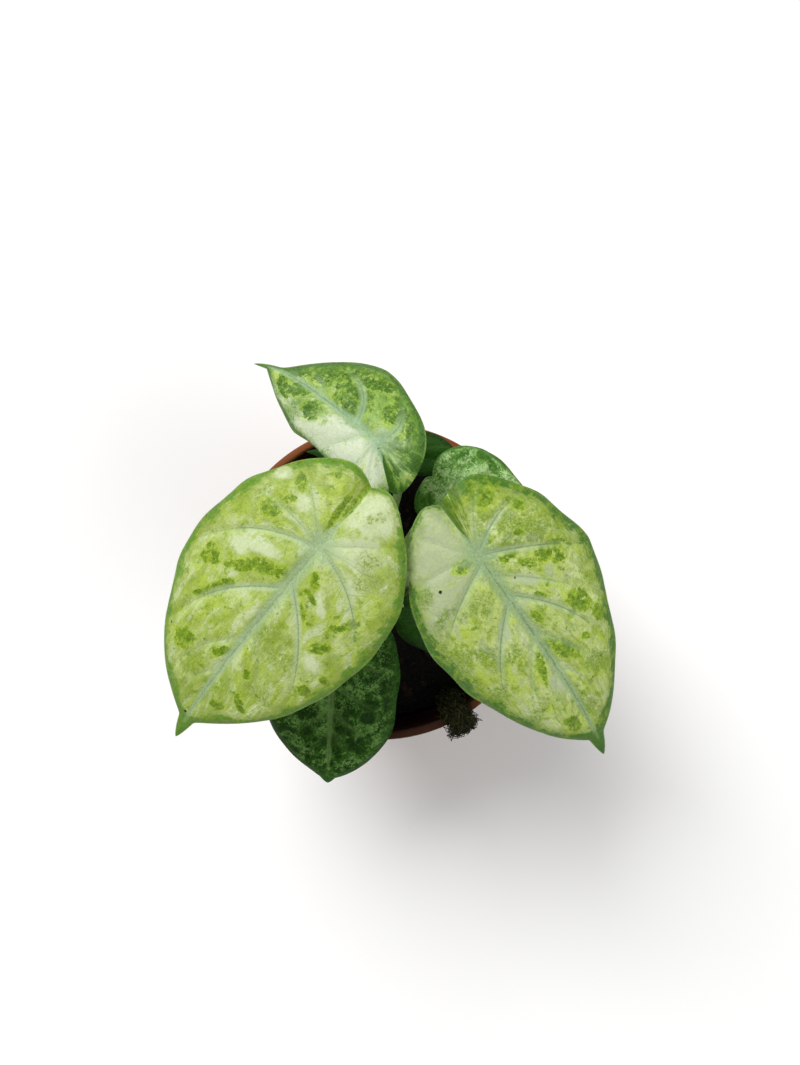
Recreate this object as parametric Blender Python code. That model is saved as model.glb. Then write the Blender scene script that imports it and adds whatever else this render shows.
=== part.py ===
"""A young variegated alocasia in a 12 cm nursery pot: seven shield-shaped leaves on their
stalks, a short stem, the potting mix, a tuft of moss over the rim, and the pot itself.
Metres, +Z up, +Y to the back. The origin is the centre of the pot's underside."""

import math
import random
from dataclasses import dataclass

import bmesh
import bpy
import numpy as np
from mathutils import Vector, noise

MM = 0.001
GAP = 0.3 * MM

# Pot
POT_HEIGHT = 98 * MM
RIM_RADIUS = 60 * MM
BASE_RADIUS = 42 * MM
WALL = 1.8 * MM
COLLAR_HEIGHT = 15 * MM
COLLAR_STEP = 1.6 * MM
COLLAR_DRAFT = 0.8 * MM
LIP = 3.4 * MM
LIP_DEPTH = 5 * MM
LIP_ROUND = 0.9 * MM
LIP_BAND = 2.4 * MM
FLOOR = 2.2 * MM
FLOOR_BEVEL = 2 * MM
FOOT = 2.0 * MM
FOOT_WIDTH = 5 * MM
HUB_RADIUS = 13 * MM
DRAIN_HOLES = 8
DRAIN_RADIUS = 4 * MM
DRAIN_CIRCLE = 26 * MM
POT_SIDES = 48

# Potting mix
SOIL_TOP = 78 * MM
SOIL_LUMP = 1.6 * MM
SOIL_BEVEL = 1.8 * MM
SOIL_RINGS = 6

# Stem
STEM_BOTTOM = 52 * MM
STEM_TOP = 90 * MM
STEM_RADIUS = 12.5 * MM
STEM_SIDES = 24
STEM_STEPS = 9
STEM_BEVEL = 1.5 * MM
STEM_FOOT = 0.62
SCARS = 4
SCAR_RISE = 0.5 * MM
CROWN = 0.8 * MM
SOCKET_CIRCLE = 8.2 * MM
SOCKET_DEPTH = 7 * MM

# Blades
BLADE = 0.7 * MM
NOTCH = 2 * MM
MIDRIB_SINK = 1.0 * MM
MIDRIB_WIDTH = 2.6 * MM
STALK_GAP = 0.6 * MM
FOLD_SINK = 2.4 * MM
FOLD_WIDTH = 4.0 * MM
QUILT_WAVES = 5
QUILT_RISE = 0.7 * MM
TIP_CROWDING = 1.35
ROWS = (0.0, 0.14, 0.42, 0.72, 1.0)

# Moss
MOSS_ANGLE = -62
MOSS_SPREAD = 7.5
MOSS_STEPS = 10
MOSS_LUMP = 0.9 * MM


@dataclass
class Half:
    """One side of a flat blade, in mm: its width, how far ahead of the stalk it is widest,
    the square part of the back lobe as a share of the width, and three exponents that
    round the back, swell the front and draw it in to the tip."""

    width: float
    widest: float
    lobe: float = 0.25
    back: float = 1.8
    belly: float = 2.0
    taper: float = 0.9


@dataclass
class Leaf:
    """A blade in mm and degrees. at is where its stalk meets it, heading is the compass
    angle of the tip from +X, and pitch, droop and nape bend the midrib down at the stalk,
    towards the tip and towards the back lobes. sway swings the tip aside and kink the
    notch. tail and tail_width are the length and half width of the drawn-out tip."""

    name: str
    at: tuple
    heading: float
    front: float
    back: float
    left: Half
    right: Half
    socket: float
    columns: int = 24
    pitch: float = 14
    droop: float = 22
    nape: float = 18
    sway: float = 0
    kink: float = 0
    arch: float = 28
    tail: float = 11
    tail_width: float = 1.5
    stalk_base: float = 2.7
    stalk_tip: float = 1.9
    stalk_rise: float = 0.45


LEAVES = (
    Leaf("left", (-17.9, 6.9, 173), -131, 88.9, 27.2,
         Half(36.3, 10.6, 0.15, 1.5, 2.8, 0.94), Half(38.1, 23.7, 0.19, 1.7, 1.74, 0.83),
         socket=200, sway=7.1, tail=15.5, tail_width=4),
    Leaf("right", (32.0, 4.4, 168), -53, 88.7, 22.7,
         Half(35.5, 20.4, 0.37, 1.5, 1.3, 0.78), Half(32, 21.6, 0.15, 1.63, 1.64, 0.65),
         socket=347, sway=-11.5, tail=14.8, tail_width=4),
    Leaf("back", (-0.4, 43.3, 156), 138.8, 61.1, 19.2,
         Half(15.4, 28.3, 0.58, 3.0, 1.3, 0.84), Half(22.5, 17, 0.15, 1.5, 1.8, 2.4),
         socket=146, sway=25.7, kink=-35, tail_width=1.2),
    Leaf("back_right", (26.9, 29.5, 134), -33, 53, 12,
         Half(19.4, 1.9, 0.31, 1.67, 2.2, 0.9), Half(15.7, 3.1, 0.15, 2.74, 2.2, 0.9),
         socket=47, columns=20, stalk_base=2.5, stalk_tip=1.7),
    Leaf("front", (-16.1, -26.4, 124), -93.9, 54.6, 18,
         Half(24.9, 13.5, 0.3, 2.0, 2.93, 0.7), Half(26.1, 15.9, 0.3, 2.0, 2.42, 0.94),
         socket=251, columns=20, tail=4.2, tail_width=3.6, stalk_base=2.5, stalk_tip=1.7),
    Leaf("inner_back", (9, 45, 109), 175, 38, 19,
         Half(7, 9, 0.3, 2.0, 2.0, 0.8), Half(12, 9, 0.3, 2.0, 2.0, 0.8),
         socket=97, columns=16, pitch=5, droop=8, nape=10, arch=14, tail=5, stalk_base=2.3,
         stalk_tip=1.5),
    Leaf("inner_front", (15, -14, 109), -30, 34, 9,
         Half(9, 6, 0.3, 2.0, 2.0, 0.8), Half(11, 5, 0.3, 2.0, 2.0, 0.8),
         socket=299, columns=16, pitch=8, droop=18, nape=8, arch=16, stalk_base=2.3, stalk_tip=1.5),
)


def clear_scene():
    for obj in list(bpy.data.objects):
        bpy.data.objects.remove(obj, do_unlink=True)


def material(name, colour, roughness):
    made = bpy.data.materials.new(name)
    made.use_nodes = True
    shader = made.node_tree.nodes["Principled BSDF"]
    shader.inputs["Base Color"].default_value = (*colour, 1)
    shader.inputs["Roughness"].default_value = roughness
    shader.inputs["Metallic"].default_value = 0
    return made


def add_object(name, mesh, finish):
    obj = bpy.data.objects.new(name, mesh)
    obj.data.materials.append(finish)
    bpy.context.scene.collection.objects.link(obj)
    return obj


def add_mesh(name, points, faces, finish):
    mesh = bpy.data.meshes.new(name)
    mesh.from_pydata([tuple(p) for p in points], [], faces)
    mesh.update()
    mesh.shade_smooth()
    mesh.set_sharp_from_angle(angle=math.radians(40))
    return add_object(name, mesh, finish)


def turned(name, profile, sides, finish):
    """A solid of revolution about Z from a closed (radius, height) profile whose first and
    last points lie on the axis, listed from the bottom up along its outside. An end that is
    level is one flat face, and any other end is a low cone."""
    rings = profile[1:-1]
    points, faces = [], []
    for radius, height in rings:
        for side in range(sides):
            angle = math.tau * side / sides
            points.append((radius * math.cos(angle), radius * math.sin(angle), height))
    for ring in range(len(rings) - 1):
        low, high = ring * sides, (ring + 1) * sides
        for side in range(sides):
            following = (side + 1) % sides
            faces.append((low + side, low + following, high + following, high + side))
    bottom = list(reversed(range(sides)))
    top = list(range((len(rings) - 1) * sides, len(rings) * sides))
    for loop, height, beside in ((bottom, profile[0][1], rings[0][1]), (top, profile[-1][1], rings[-1][1])):
        if height == beside:
            faces.append(tuple(loop))
            continue
        points.append((0, 0, height))
        faces += [(loop[k - 1], loop[k], len(points) - 1) for k in range(sides)]
    return add_mesh(name, points, faces, finish)


def cylinder_cutter(name, x, y, low, high, radius, sides=16):
    shape = bmesh.new()
    bmesh.ops.create_cone(shape, cap_ends=True, segments=sides, radius1=radius, radius2=radius,
                          depth=high - low)
    bmesh.ops.translate(shape, verts=shape.verts, vec=(x, y, (high + low) / 2))
    mesh = bpy.data.meshes.new(name)
    shape.to_mesh(mesh)
    shape.free()
    cutter = bpy.data.objects.new(name, mesh)
    cutter.hide_render = True
    cutter.display_type = "WIRE"
    bpy.context.scene.collection.objects.link(cutter)
    return cutter


def cut(obj, cutter):
    modifier = obj.modifiers.new(cutter.name, "BOOLEAN")
    modifier.operation = "DIFFERENCE"
    modifier.object = cutter


def wall_radius(height):
    """The pot's outer radius under its collar."""
    share = (height - FOOT) / (POT_HEIGHT - FOOT)
    return BASE_RADIUS + (RIM_RADIUS - COLLAR_STEP - BASE_RADIUS) * share


def inner_radius(height):
    return wall_radius(height) - WALL


def make_pot(finish):
    """Straight tapered wall, a deeper collar with a rounded lip, and a recessed underside
    that stands on an outer foot ring and a central hub."""
    collar = POT_HEIGHT - COLLAR_HEIGHT
    floor = FOOT + FLOOR
    profile = [
        (0, 0),
        (HUB_RADIUS, 0),
        (HUB_RADIUS + FOOT, FOOT),
        (BASE_RADIUS - FOOT_WIDTH - FOOT, FOOT),
        (BASE_RADIUS - FOOT_WIDTH, 0),
        (BASE_RADIUS - FOOT, 0),
        (wall_radius(FOOT), FOOT),
        (wall_radius(collar - COLLAR_STEP), collar - COLLAR_STEP),
        (RIM_RADIUS - COLLAR_DRAFT, collar),
        (RIM_RADIUS - COLLAR_DRAFT / 2, POT_HEIGHT - LIP_DEPTH),
        (RIM_RADIUS, POT_HEIGHT - LIP_BAND),
        (RIM_RADIUS, POT_HEIGHT - LIP_ROUND),
        (RIM_RADIUS - LIP_ROUND, POT_HEIGHT),
        (RIM_RADIUS - LIP + LIP_ROUND, POT_HEIGHT),
        (RIM_RADIUS - LIP, POT_HEIGHT - LIP_ROUND),
        (RIM_RADIUS - LIP, POT_HEIGHT - LIP_DEPTH),
        (inner_radius(collar), collar),
        (inner_radius(floor + FLOOR_BEVEL), floor + FLOOR_BEVEL),
        (inner_radius(floor) - FLOOR_BEVEL, floor),
        (0, floor),
    ]
    pot = turned("pot", profile, POT_SIDES, finish)
    for hole in range(DRAIN_HOLES):
        angle = math.tau * (hole + 0.5) / DRAIN_HOLES
        x, y = DRAIN_CIRCLE * math.cos(angle), DRAIN_CIRCLE * math.sin(angle)
        cut(pot, cylinder_cutter(f"drain_cutter_{hole}", x, y, -FOOT, floor + 3 * MM, DRAIN_RADIUS))
    return pot


def stem_radius(height):
    """The stem narrows downwards and carries the scars of older leaves as low rings."""
    share = (height - STEM_BOTTOM) / (STEM_TOP - STEM_BOTTOM)
    body = STEM_RADIUS * (STEM_FOOT + (1 - STEM_FOOT) * math.sin(share * math.pi / 2))
    return body + SCAR_RISE * math.cos(share * SCARS * math.tau)


def make_soil(finish):
    """Potting mix that fills the pot to below the collar, with a lumpy top and a plain hole
    for the stem."""
    floor = FOOT + FLOOR
    profile = [
        (0, floor + GAP),
        (inner_radius(floor) - FLOOR_BEVEL - GAP, floor + GAP),
        (inner_radius(floor + FLOOR_BEVEL) - GAP, floor + FLOOR_BEVEL),
        (inner_radius(SOIL_TOP) - GAP, SOIL_TOP),
    ]
    edge = inner_radius(SOIL_TOP) - SOIL_BEVEL
    for ring in range(SOIL_RINGS, 0, -1):
        profile.append((edge * ring / SOIL_RINGS, SOIL_TOP + SOIL_LUMP))
    profile.append((0, SOIL_TOP + 2 * SOIL_LUMP))
    soil = turned("soil", profile, POT_SIDES, finish)
    for vertex in soil.data.vertices:
        if vertex.co.z > SOIL_TOP + SOIL_LUMP / 2:
            vertex.co.z += SOIL_LUMP * noise.noise(vertex.co * 130)
    top = SOIL_TOP + 4 * SOIL_LUMP
    cut(soil, cylinder_cutter("stem_hole", 0, 0, STEM_BOTTOM - GAP, top,
                              STEM_RADIUS + SCAR_RISE + GAP, STEM_SIDES))
    return soil


def socket_place(leaf):
    angle = math.radians(leaf.socket)
    return SOCKET_CIRCLE * math.cos(angle), SOCKET_CIRCLE * math.sin(angle)


def make_stem(finish):
    """A blunt fleshy stem with one round socket in its crown for each stalk."""
    profile = [(0, STEM_BOTTOM)]
    for step in range(STEM_STEPS + 1):
        height = STEM_BOTTOM + (STEM_TOP - STEM_BOTTOM - STEM_BEVEL) * step / STEM_STEPS
        profile.append((stem_radius(height) * (0.7 if step == 0 else 1), height))
    profile.append((STEM_RADIUS - STEM_BEVEL, STEM_TOP))
    profile.append((0, STEM_TOP + CROWN))
    stem = turned("stem", profile, STEM_SIDES, finish)
    for leaf in LEAVES:
        x, y = socket_place(leaf)
        low, high = STEM_TOP - SOCKET_DEPTH, STEM_TOP + 5 * MM
        cut(stem, cylinder_cutter(f"socket_{leaf.name}", x, y, low, high,
                                  leaf.stalk_base * MM + GAP, 12))
    return stem


def column_shares(count):
    """How far along the blade each column stands, closer together towards the tip."""
    return 1 - (1 - np.linspace(0, 1, count + 1)) ** TIP_CROWDING


def half_outline(leaf, half, count):
    """(x, y) points along one side's margin, a point for each column, from the notch between
    the back lobes to the tip. The stalk is at (0, 0) and x runs along the midrib."""
    front, back = leaf.front * MM, leaf.back * MM
    width, widest = half.width * MM, half.widest * MM
    lobe = half.lobe * width
    tail_length = leaf.tail * MM
    across = np.linspace(0, lobe, 10, endpoint=False)
    notch = np.stack([-back + NOTCH * (1 - across / lobe) ** 2, across], 1)
    turn = np.linspace(0.001, math.pi / 2, 40, endpoint=False)
    shoulder_x = widest - (widest + back) * np.cos(turn) ** (2 / half.back)
    shoulder_y = lobe + (width - lobe) * np.sin(turn) ** (2 / half.back)
    along = widest + (front - widest) * (1 - (1 - np.linspace(0, 1, 120)) ** 1.5)
    share = np.clip((along - widest) / (front - 0.6 * tail_length - widest), 0, 1)
    body = width * (1 - share**half.belly) ** half.taper
    tail = leaf.tail_width * MM * np.clip((front - along) / tail_length, 0, 1) ** 0.7
    side = np.stack([along, np.cbrt(body**3 + tail**3)], 1)
    points = np.concatenate([notch, np.stack([shoulder_x, shoulder_y], 1), side])
    reach = np.concatenate([[0], np.cumsum(np.hypot(*np.diff(points, axis=0).T))])
    wanted = column_shares(count) * reach[-1]
    return np.stack([np.interp(wanted, reach, points[:, 0]), np.interp(wanted, reach, points[:, 1])], 1)


def relief(leaf, x, y, column, row):
    """Height above the smooth sheet: the sunk midrib, the fold between the back lobes, and
    the low pillows between the side veins."""
    away = np.abs(y)
    rib = -MIDRIB_SINK * np.exp(-((away / MIDRIB_WIDTH) ** 2))
    behind = np.clip(-x / (leaf.back * MM), 0, 1)
    fold = -FOLD_SINK * behind * np.exp(-((away / FOLD_WIDTH) ** 2))
    pillow = QUILT_RISE * np.sin(QUILT_WAVES * math.tau * column) * np.sin(math.pi * row)
    return rib + fold + pillow


def lobes_turned(leaf, x, y):
    """Swings flat points about the stalk by the leaf's kink, the more the nearer they are to
    the notch."""
    angle, reach = np.arctan2(y, x), np.hypot(x, y)
    share = np.clip(np.abs(angle) / math.pi * 1.5 - 0.5, 0, 1)
    angle = angle + math.radians(leaf.kink) * share * share * (3 - 2 * share)
    return reach * np.cos(angle), reach * np.sin(angle)


def bend(leaf, x, y, lift):
    """Flat blade points, lifted along the sheet's normal, to places in the world."""
    x, y = lobes_turned(leaf, x, y)
    front, back = leaf.front * MM, leaf.back * MM
    along = np.linspace(-1.05 * back, front, 400)
    ahead, behind = np.clip(along / front, 0, 1), np.clip(-along / back, 0, 1.1)
    slope = np.radians(leaf.pitch + leaf.droop * ahead**1.3 - leaf.nape * behind)
    turn = np.radians(leaf.sway) * np.clip((ahead - 0.3) / 0.7, 0, 1) ** 2
    forward = np.stack([np.cos(slope) * np.cos(turn), np.cos(slope) * np.sin(turn), -np.sin(slope)], 1)
    step = (forward[1:] + forward[:-1]) / 2 * (along[1] - along[0])
    spine = np.concatenate([np.zeros((1, 3)), np.cumsum(step, axis=0)])
    spine -= np.array([np.interp(0, along, spine[:, axis]) for axis in range(3)])
    centre = np.stack([np.interp(x, along, spine[:, axis]) for axis in range(3)], -1)
    pitch, yaw = np.interp(x, along, slope), np.interp(x, along, turn)
    ahead = np.stack([np.cos(pitch) * np.cos(yaw), np.cos(pitch) * np.sin(yaw), -np.sin(pitch)], -1)
    aside = np.stack([-np.sin(yaw), np.cos(yaw), np.zeros_like(yaw)], -1)
    normal = np.cross(ahead, aside)
    width = np.where(y > 0, leaf.left.width, leaf.right.width) * MM
    curl = math.radians(leaf.arch) / width
    sideways = np.sin(curl * np.abs(y)) / curl * np.sign(y)
    fall = -(1 - np.cos(curl * np.abs(y))) / curl
    local = centre + aside * sideways[..., None] + normal * (fall + lift)[..., None]
    heading = math.radians(leaf.heading)
    cos, sin = math.cos(heading), math.sin(heading)
    rotation = np.array([[cos, sin, 0], [-sin, cos, 0], [0, 0, 1]])
    return local @ rotation + np.array(leaf.at) * MM


def blade_sheet(leaf):
    """The upper face: points, and triangles that face up. Each column runs from the midrib
    out to both margins, and the notch and the tip are single points."""
    flat, columns, rows = [], [], []
    index = {}

    def add(key, x, y, column, row):
        index[key] = len(flat)
        flat.append((x, y))
        columns.append(column)
        rows.append(row)

    count = leaf.columns
    sides = {1: half_outline(leaf, leaf.left, count), -1: half_outline(leaf, leaf.right, count)}
    start, end = sides[1][0][0], sides[1][-1][0]
    for column, share in enumerate(column_shares(count)):
        rib = start + (end - start) * share
        add((column, 0), rib, 0, share, 0)
        if column in (0, count):
            continue
        for side, margin in sides.items():
            x, y = margin[column]
            for row, out in enumerate(ROWS[1:], 1):
                add((column, side * row), rib + (x - rib) * out, side * y * out, share, out)
    faces = []
    for column in range(count):
        for side in (1, -1):
            for row in range(len(ROWS) - 1):
                corners = []
                for near, far in ((column, row), (column, row + 1), (column + 1, row + 1), (column + 1, row)):
                    key = (near, 0) if near in (0, count) else (near, side * far)
                    if index[key] not in corners:
                        corners.append(index[key])
                if side == 1:
                    corners.reverse()
                faces += [(corners[0], corners[k], corners[k + 1]) for k in range(1, len(corners) - 1)]
    x, y = np.array(flat).T
    lift = relief(leaf, x, y, np.array(columns), np.array(rows))
    return bend(leaf, x, y, lift), faces


def make_blade(leaf, finish):
    points, faces = blade_sheet(leaf)
    blade = add_mesh(f"blade_{leaf.name}", points, faces, finish)
    thick = blade.modifiers.new("thickness", "SOLIDIFY")
    thick.thickness = BLADE
    thick.offset = -1
    return blade


def blade_up(leaf):
    """The blade's upward direction where the stalk meets it."""
    pitch, heading = math.radians(leaf.pitch), math.radians(leaf.heading)
    return Vector((math.sin(pitch) * math.cos(heading), math.sin(pitch) * math.sin(heading), math.cos(pitch)))


def stalk_path(leaf, count=12):
    """Points and radii from the socket in the stem to just under the blade."""
    x, y = socket_place(leaf)
    bottom = Vector((x, y, STEM_TOP - SOCKET_DEPTH + GAP))
    mouth = Vector((x, y, STEM_TOP + 1.2 * MM))
    up = blade_up(leaf)
    end = Vector(leaf.at) * MM - up * (MIDRIB_SINK + BLADE + STALK_GAP)
    reach = (end - mouth).length * leaf.stalk_rise
    handles = (mouth, mouth + Vector((0, 0, reach)), end - up * reach, end)
    points = [bottom]
    for step in range(count + 1):
        t = step / count
        weights = ((1 - t) ** 3, 3 * t * (1 - t) ** 2, 3 * t * t * (1 - t), t**3)
        points.append(sum((w * h for w, h in zip(weights, handles)), Vector()))
    radii = [leaf.stalk_base * MM]
    for step in range(count + 1):
        share = step / count
        radii.append((leaf.stalk_base + (leaf.stalk_tip - leaf.stalk_base) * share**0.6) * MM)
    return points, radii


def make_stalk(leaf, finish):
    points, radii = stalk_path(leaf)
    curve = bpy.data.curves.new(f"stalk_{leaf.name}", "CURVE")
    curve.dimensions = "3D"
    curve.bevel_depth = MM
    curve.bevel_resolution = 2
    curve.use_fill_caps = True
    spline = curve.splines.new("POLY")
    spline.points.add(len(points) - 1)
    for point, place, radius in zip(spline.points, points, radii):
        point.co = (*place, 1)
        point.radius = radius / MM
    return add_object(f"stalk_{leaf.name}", curve, finish)


def make_moss(finish):
    """A lumpy tuft that lies on the potting mix inside the pot, climbs over the lip and
    hangs down outside the collar."""
    inside, outside = RIM_RADIUS - LIP - GAP, RIM_RADIUS + GAP
    over = POT_HEIGHT + GAP
    soil = SOIL_TOP + 2 * SOIL_LUMP + 2 * GAP
    section = (
        (inside - 9 * MM, soil),
        (inside - 3 * MM, soil),
        (inside - 1.5 * MM, over - 10 * MM),
        (inside, over - 5 * MM),
        (inside, over),
        (outside, over),
        (outside, over - 10 * MM),
        (outside + 3 * MM, over - 14 * MM),
        (outside + 6.5 * MM, over - 9 * MM),
        (outside + 7 * MM, over),
        (outside + 3 * MM, over + 5 * MM),
        (inside - 2 * MM, over + 6 * MM),
        (inside - 9 * MM, over - 2 * MM),
    )
    fixed = 8
    middle = Vector(((inside + outside) / 2, 0, over + 2 * MM))
    draws = random.Random(7)
    points, faces = [], []
    for step in range(MOSS_STEPS + 1):
        turn = step / MOSS_STEPS * 2 - 1
        angle = math.radians(MOSS_ANGLE + MOSS_SPREAD * turn)
        shrink = 0.45 + 0.55 * math.sqrt(1 - 0.9 * turn * turn)
        for corner, (radius, height) in enumerate(section):
            if corner >= fixed:
                radius = middle.x + (radius - middle.x) * shrink + MOSS_LUMP * draws.uniform(-1, 1)
                height = middle.z + (height - middle.z) * shrink + MOSS_LUMP * draws.uniform(0, 1)
            points.append((radius * math.cos(angle), radius * math.sin(angle), height))
    size = len(section)
    for step in range(MOSS_STEPS):
        for corner in range(size):
            a, b = step * size + corner, step * size + (corner + 1) % size
            faces.append((a, a + size, b + size, b))
    first = list(range(size))
    last = [MOSS_STEPS * size + corner for corner in range(size)]
    faces.append(tuple(first))
    faces.append(tuple(reversed(last)))
    moss = add_mesh("moss_tuft", points, faces, finish)
    shape = bmesh.new()
    shape.from_mesh(moss.data)
    bmesh.ops.triangulate(shape, faces=shape.faces)
    bmesh.ops.recalc_face_normals(shape, faces=shape.faces)
    shape.to_mesh(moss.data)
    shape.free()
    return moss


def main():
    clear_scene()
    terracotta = material("terracotta_plastic", (0.33, 0.12, 0.06), 0.55)
    mix = material("potting_mix", (0.02, 0.015, 0.01), 0.95)
    crown = material("stem_skin", (0.16, 0.19, 0.08), 0.6)
    stalk = material("stalk_green", (0.28, 0.4, 0.18), 0.45)
    moss = material("dry_moss", (0.05, 0.05, 0.015), 0.95)
    blades = {
        "left": material("blade_lime", (0.42, 0.58, 0.2), 0.45),
        "back_right": material("blade_mottled_green", (0.07, 0.22, 0.07), 0.45),
        "inner_back": material("blade_deep_green", (0.02, 0.09, 0.02), 0.45),
    }
    blades["right"] = blades["back"] = blades["left"]
    blades["front"] = blades["back_right"]
    blades["inner_front"] = blades["inner_back"]
    make_pot(terracotta)
    make_soil(mix)
    make_stem(crown)
    for leaf in LEAVES:
        make_blade(leaf, blades[leaf.name])
        make_stalk(leaf, stalk)
    make_moss(moss)


main()
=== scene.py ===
import math
import random
from dataclasses import dataclass

import bpy
import numpy as np
from mathutils import Matrix, Vector, noise


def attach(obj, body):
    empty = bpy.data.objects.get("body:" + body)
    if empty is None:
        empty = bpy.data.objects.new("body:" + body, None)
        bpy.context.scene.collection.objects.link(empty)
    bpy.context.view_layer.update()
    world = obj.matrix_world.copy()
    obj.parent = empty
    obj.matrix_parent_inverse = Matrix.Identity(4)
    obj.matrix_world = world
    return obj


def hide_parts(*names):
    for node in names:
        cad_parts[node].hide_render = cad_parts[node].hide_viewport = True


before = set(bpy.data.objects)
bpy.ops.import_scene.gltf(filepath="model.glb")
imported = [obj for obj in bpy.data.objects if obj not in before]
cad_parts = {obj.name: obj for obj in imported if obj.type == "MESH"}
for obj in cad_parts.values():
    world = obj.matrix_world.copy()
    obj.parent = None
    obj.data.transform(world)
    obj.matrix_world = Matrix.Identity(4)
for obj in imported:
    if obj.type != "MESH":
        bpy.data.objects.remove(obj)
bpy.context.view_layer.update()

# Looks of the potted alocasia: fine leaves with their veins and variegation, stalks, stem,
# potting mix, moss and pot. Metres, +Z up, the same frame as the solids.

MM = 0.001

# Pot, as in the solids
POT_HEIGHT = 98 * MM
RIM_RADIUS = 60 * MM
BASE_RADIUS = 42 * MM
WALL = 1.8 * MM
COLLAR_HEIGHT = 15 * MM
COLLAR_STEP = 1.6 * MM
COLLAR_DRAFT = 0.8 * MM
LIP = 3.4 * MM
LIP_DEPTH = 5 * MM
LIP_BAND = 2.4 * MM
FLOOR = 2.2 * MM
FLOOR_BEVEL = 2 * MM
FOOT = 2.0 * MM
FOOT_WIDTH = 5 * MM
HUB_RADIUS = 13 * MM
DRAIN_HOLES = 8
DRAIN_RADIUS = 4 * MM
DRAIN_CIRCLE = 26 * MM

# Potting mix, stem and moss, as in the solids
GAP = 0.3 * MM
SOIL_TOP = 78 * MM
SOIL_LUMP = 1.6 * MM
STEM_BOTTOM = 52 * MM
STEM_TOP = 90 * MM
STEM_RADIUS = 12.5 * MM
STEM_BEVEL = 1.5 * MM
STEM_FOOT = 0.62
SCARS = 4
SCAR_RISE = 0.5 * MM
CROWN = 0.8 * MM
SOCKET_CIRCLE = 8.2 * MM
SOCKET_DEPTH = 7 * MM
MOSS_ANGLE = -62
MOSS_SPREAD = 7.5

# Blades, as in the solids
BLADE = 0.7 * MM
NOTCH = 2 * MM
MIDRIB_WIDTH = 2.6 * MM
FOLD_SINK = 2.4 * MM
FOLD_WIDTH = 4.0 * MM
TIP_CROWDING = 1.35

# Finer relief of the blades: the upper face
LARGE_FRONT = 88
MIDRIB_SINK = 0.6 * MM
MIDRIB_CLEAR = 2 * MM
EDGE_CLEAR = 6 * MM
VEIN_SINK = 0.38 * MM
VEIN_WIDTH = 1.2 * MM
VEIN_PAST = 20 * MM
PILLOW = 1.0 * MM
PILLOW_SPACING = 15 * MM
EDGE_ROLL = 0.9 * MM
EDGE_ROLL_WIDTH = 3.5 * MM
EDGE_WAVE = 0.5 * MM
WAVE_REACH = 20 * MM
EDGE_RIPPLE = 0.3 * MM
RIPPLES = (3.1 * MM, 5.3 * MM)

# The lower face, where the ribs stand out, and the margin gets thin
BLADE_EDGE = 0.3 * MM
THIN_MARGIN = 4 * MM
MIDRIB_RIDGE = 1.5 * MM
MIDRIB_RIDGE_WIDTH = 1.7 * MM
VEIN_RIDGE = 0.4 * MM
VEIN_RIDGE_WIDTH = 0.8 * MM
STALK_PAD = 1.6 * MM
STALK_PAD_RADIUS = 3.2 * MM

# Marks on the blades: the reach of the star around the stalk, the fold's value on a side
# without one, the colour of the specks, and the width that a blade's flat map covers
HUB = 5.5 * MM
NO_FOLD = 9.0
SPECK = (38, 32, 16)
MAP_WIDTH = 250 * MM

# Finer stem and stalks. A cap is the small flat ring that closes a turned piece at its axis
CAP = 0.5 * MM
STEM_SIDES = 72
STEM_WEAR = 0.05
SOCKET_RISE = 1.2 * MM
STALK_SIDES = 28
FLARE = 0.9 * MM
GROOVE = 0.16

# Finer pot, with two moulded lines at these depths below the collar
POT_SIDES = 160
POT_CAP = 0.4 * MM
CORNER_ROUND = 1.1 * MM
MOULDED_LINES = (9 * MM, 6 * MM)
LINE_HALF = 0.5 * MM
LINE_DEPTH = 0.25 * MM

# Finer mix and its loose chips
SOIL_SIDES = 96
SOIL_RINGS = 36
CHIPS = 520
PALE_CHIPS = 0.025
CHIP_CLEARANCE = 3 * MM

# Moss strands, and the core they wind around: radius from the pot's axis, height, thickness
STRANDS = 900
STRAND_STEPS = 12
STRAND_SIDES = 4
RIM_CLEARANCE = 0.35 * MM
MOSS_CORE = (
    (RIM_RADIUS - LIP - 8 * MM, SOIL_TOP + 4 * MM, 2.0 * MM),
    (RIM_RADIUS - LIP - 4 * MM, POT_HEIGHT - 8 * MM, 2.6 * MM),
    (RIM_RADIUS - LIP - 1.5 * MM, POT_HEIGHT + 1.5 * MM, 2.2 * MM),
    (RIM_RADIUS - LIP / 2, POT_HEIGHT + 2.6 * MM, 2.3 * MM),
    (RIM_RADIUS + 1.8 * MM, POT_HEIGHT + 1.5 * MM, 2.6 * MM),
    (RIM_RADIUS + 3.2 * MM, POT_HEIGHT - 5 * MM, 2.9 * MM),
    (RIM_RADIUS + 3.4 * MM, POT_HEIGHT - 9 * MM, 1.2 * MM),
)

# Camera: the photograph's frame, and where the pot's lip stands in it
FRAME_WIDTH, FRAME_HEIGHT = 800, 1065
FOCAL_PIXELS = 1108.8
RIM_PIXEL = (380.7, 579.6)
ELEVATION = math.radians(85)
DISTANCE = 0.42
SENSOR = 36

# Stage: the floor's half width, and softboxes with their place, size and power
FLOOR_REACH = 3.0
LIT_PLACE = Vector((0, 0, 0.12))
SOFTBOXES = (("key", (-1.1, 1.5, 2.6), 1.8, 88), ("fill", (1.8, -1.2, 2.2), 2.4, 26))
SURROUND = 0.36


@dataclass
class Half:
    """One side of a flat blade, in mm: its width, how far ahead of the stalk it is widest,
    the square part of the back lobe as a share of the width, and three exponents that
    round the back, swell the front and draw it in to the tip."""

    width: float
    widest: float
    lobe: float = 0.25
    back: float = 1.8
    belly: float = 2.0
    taper: float = 0.9


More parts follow.
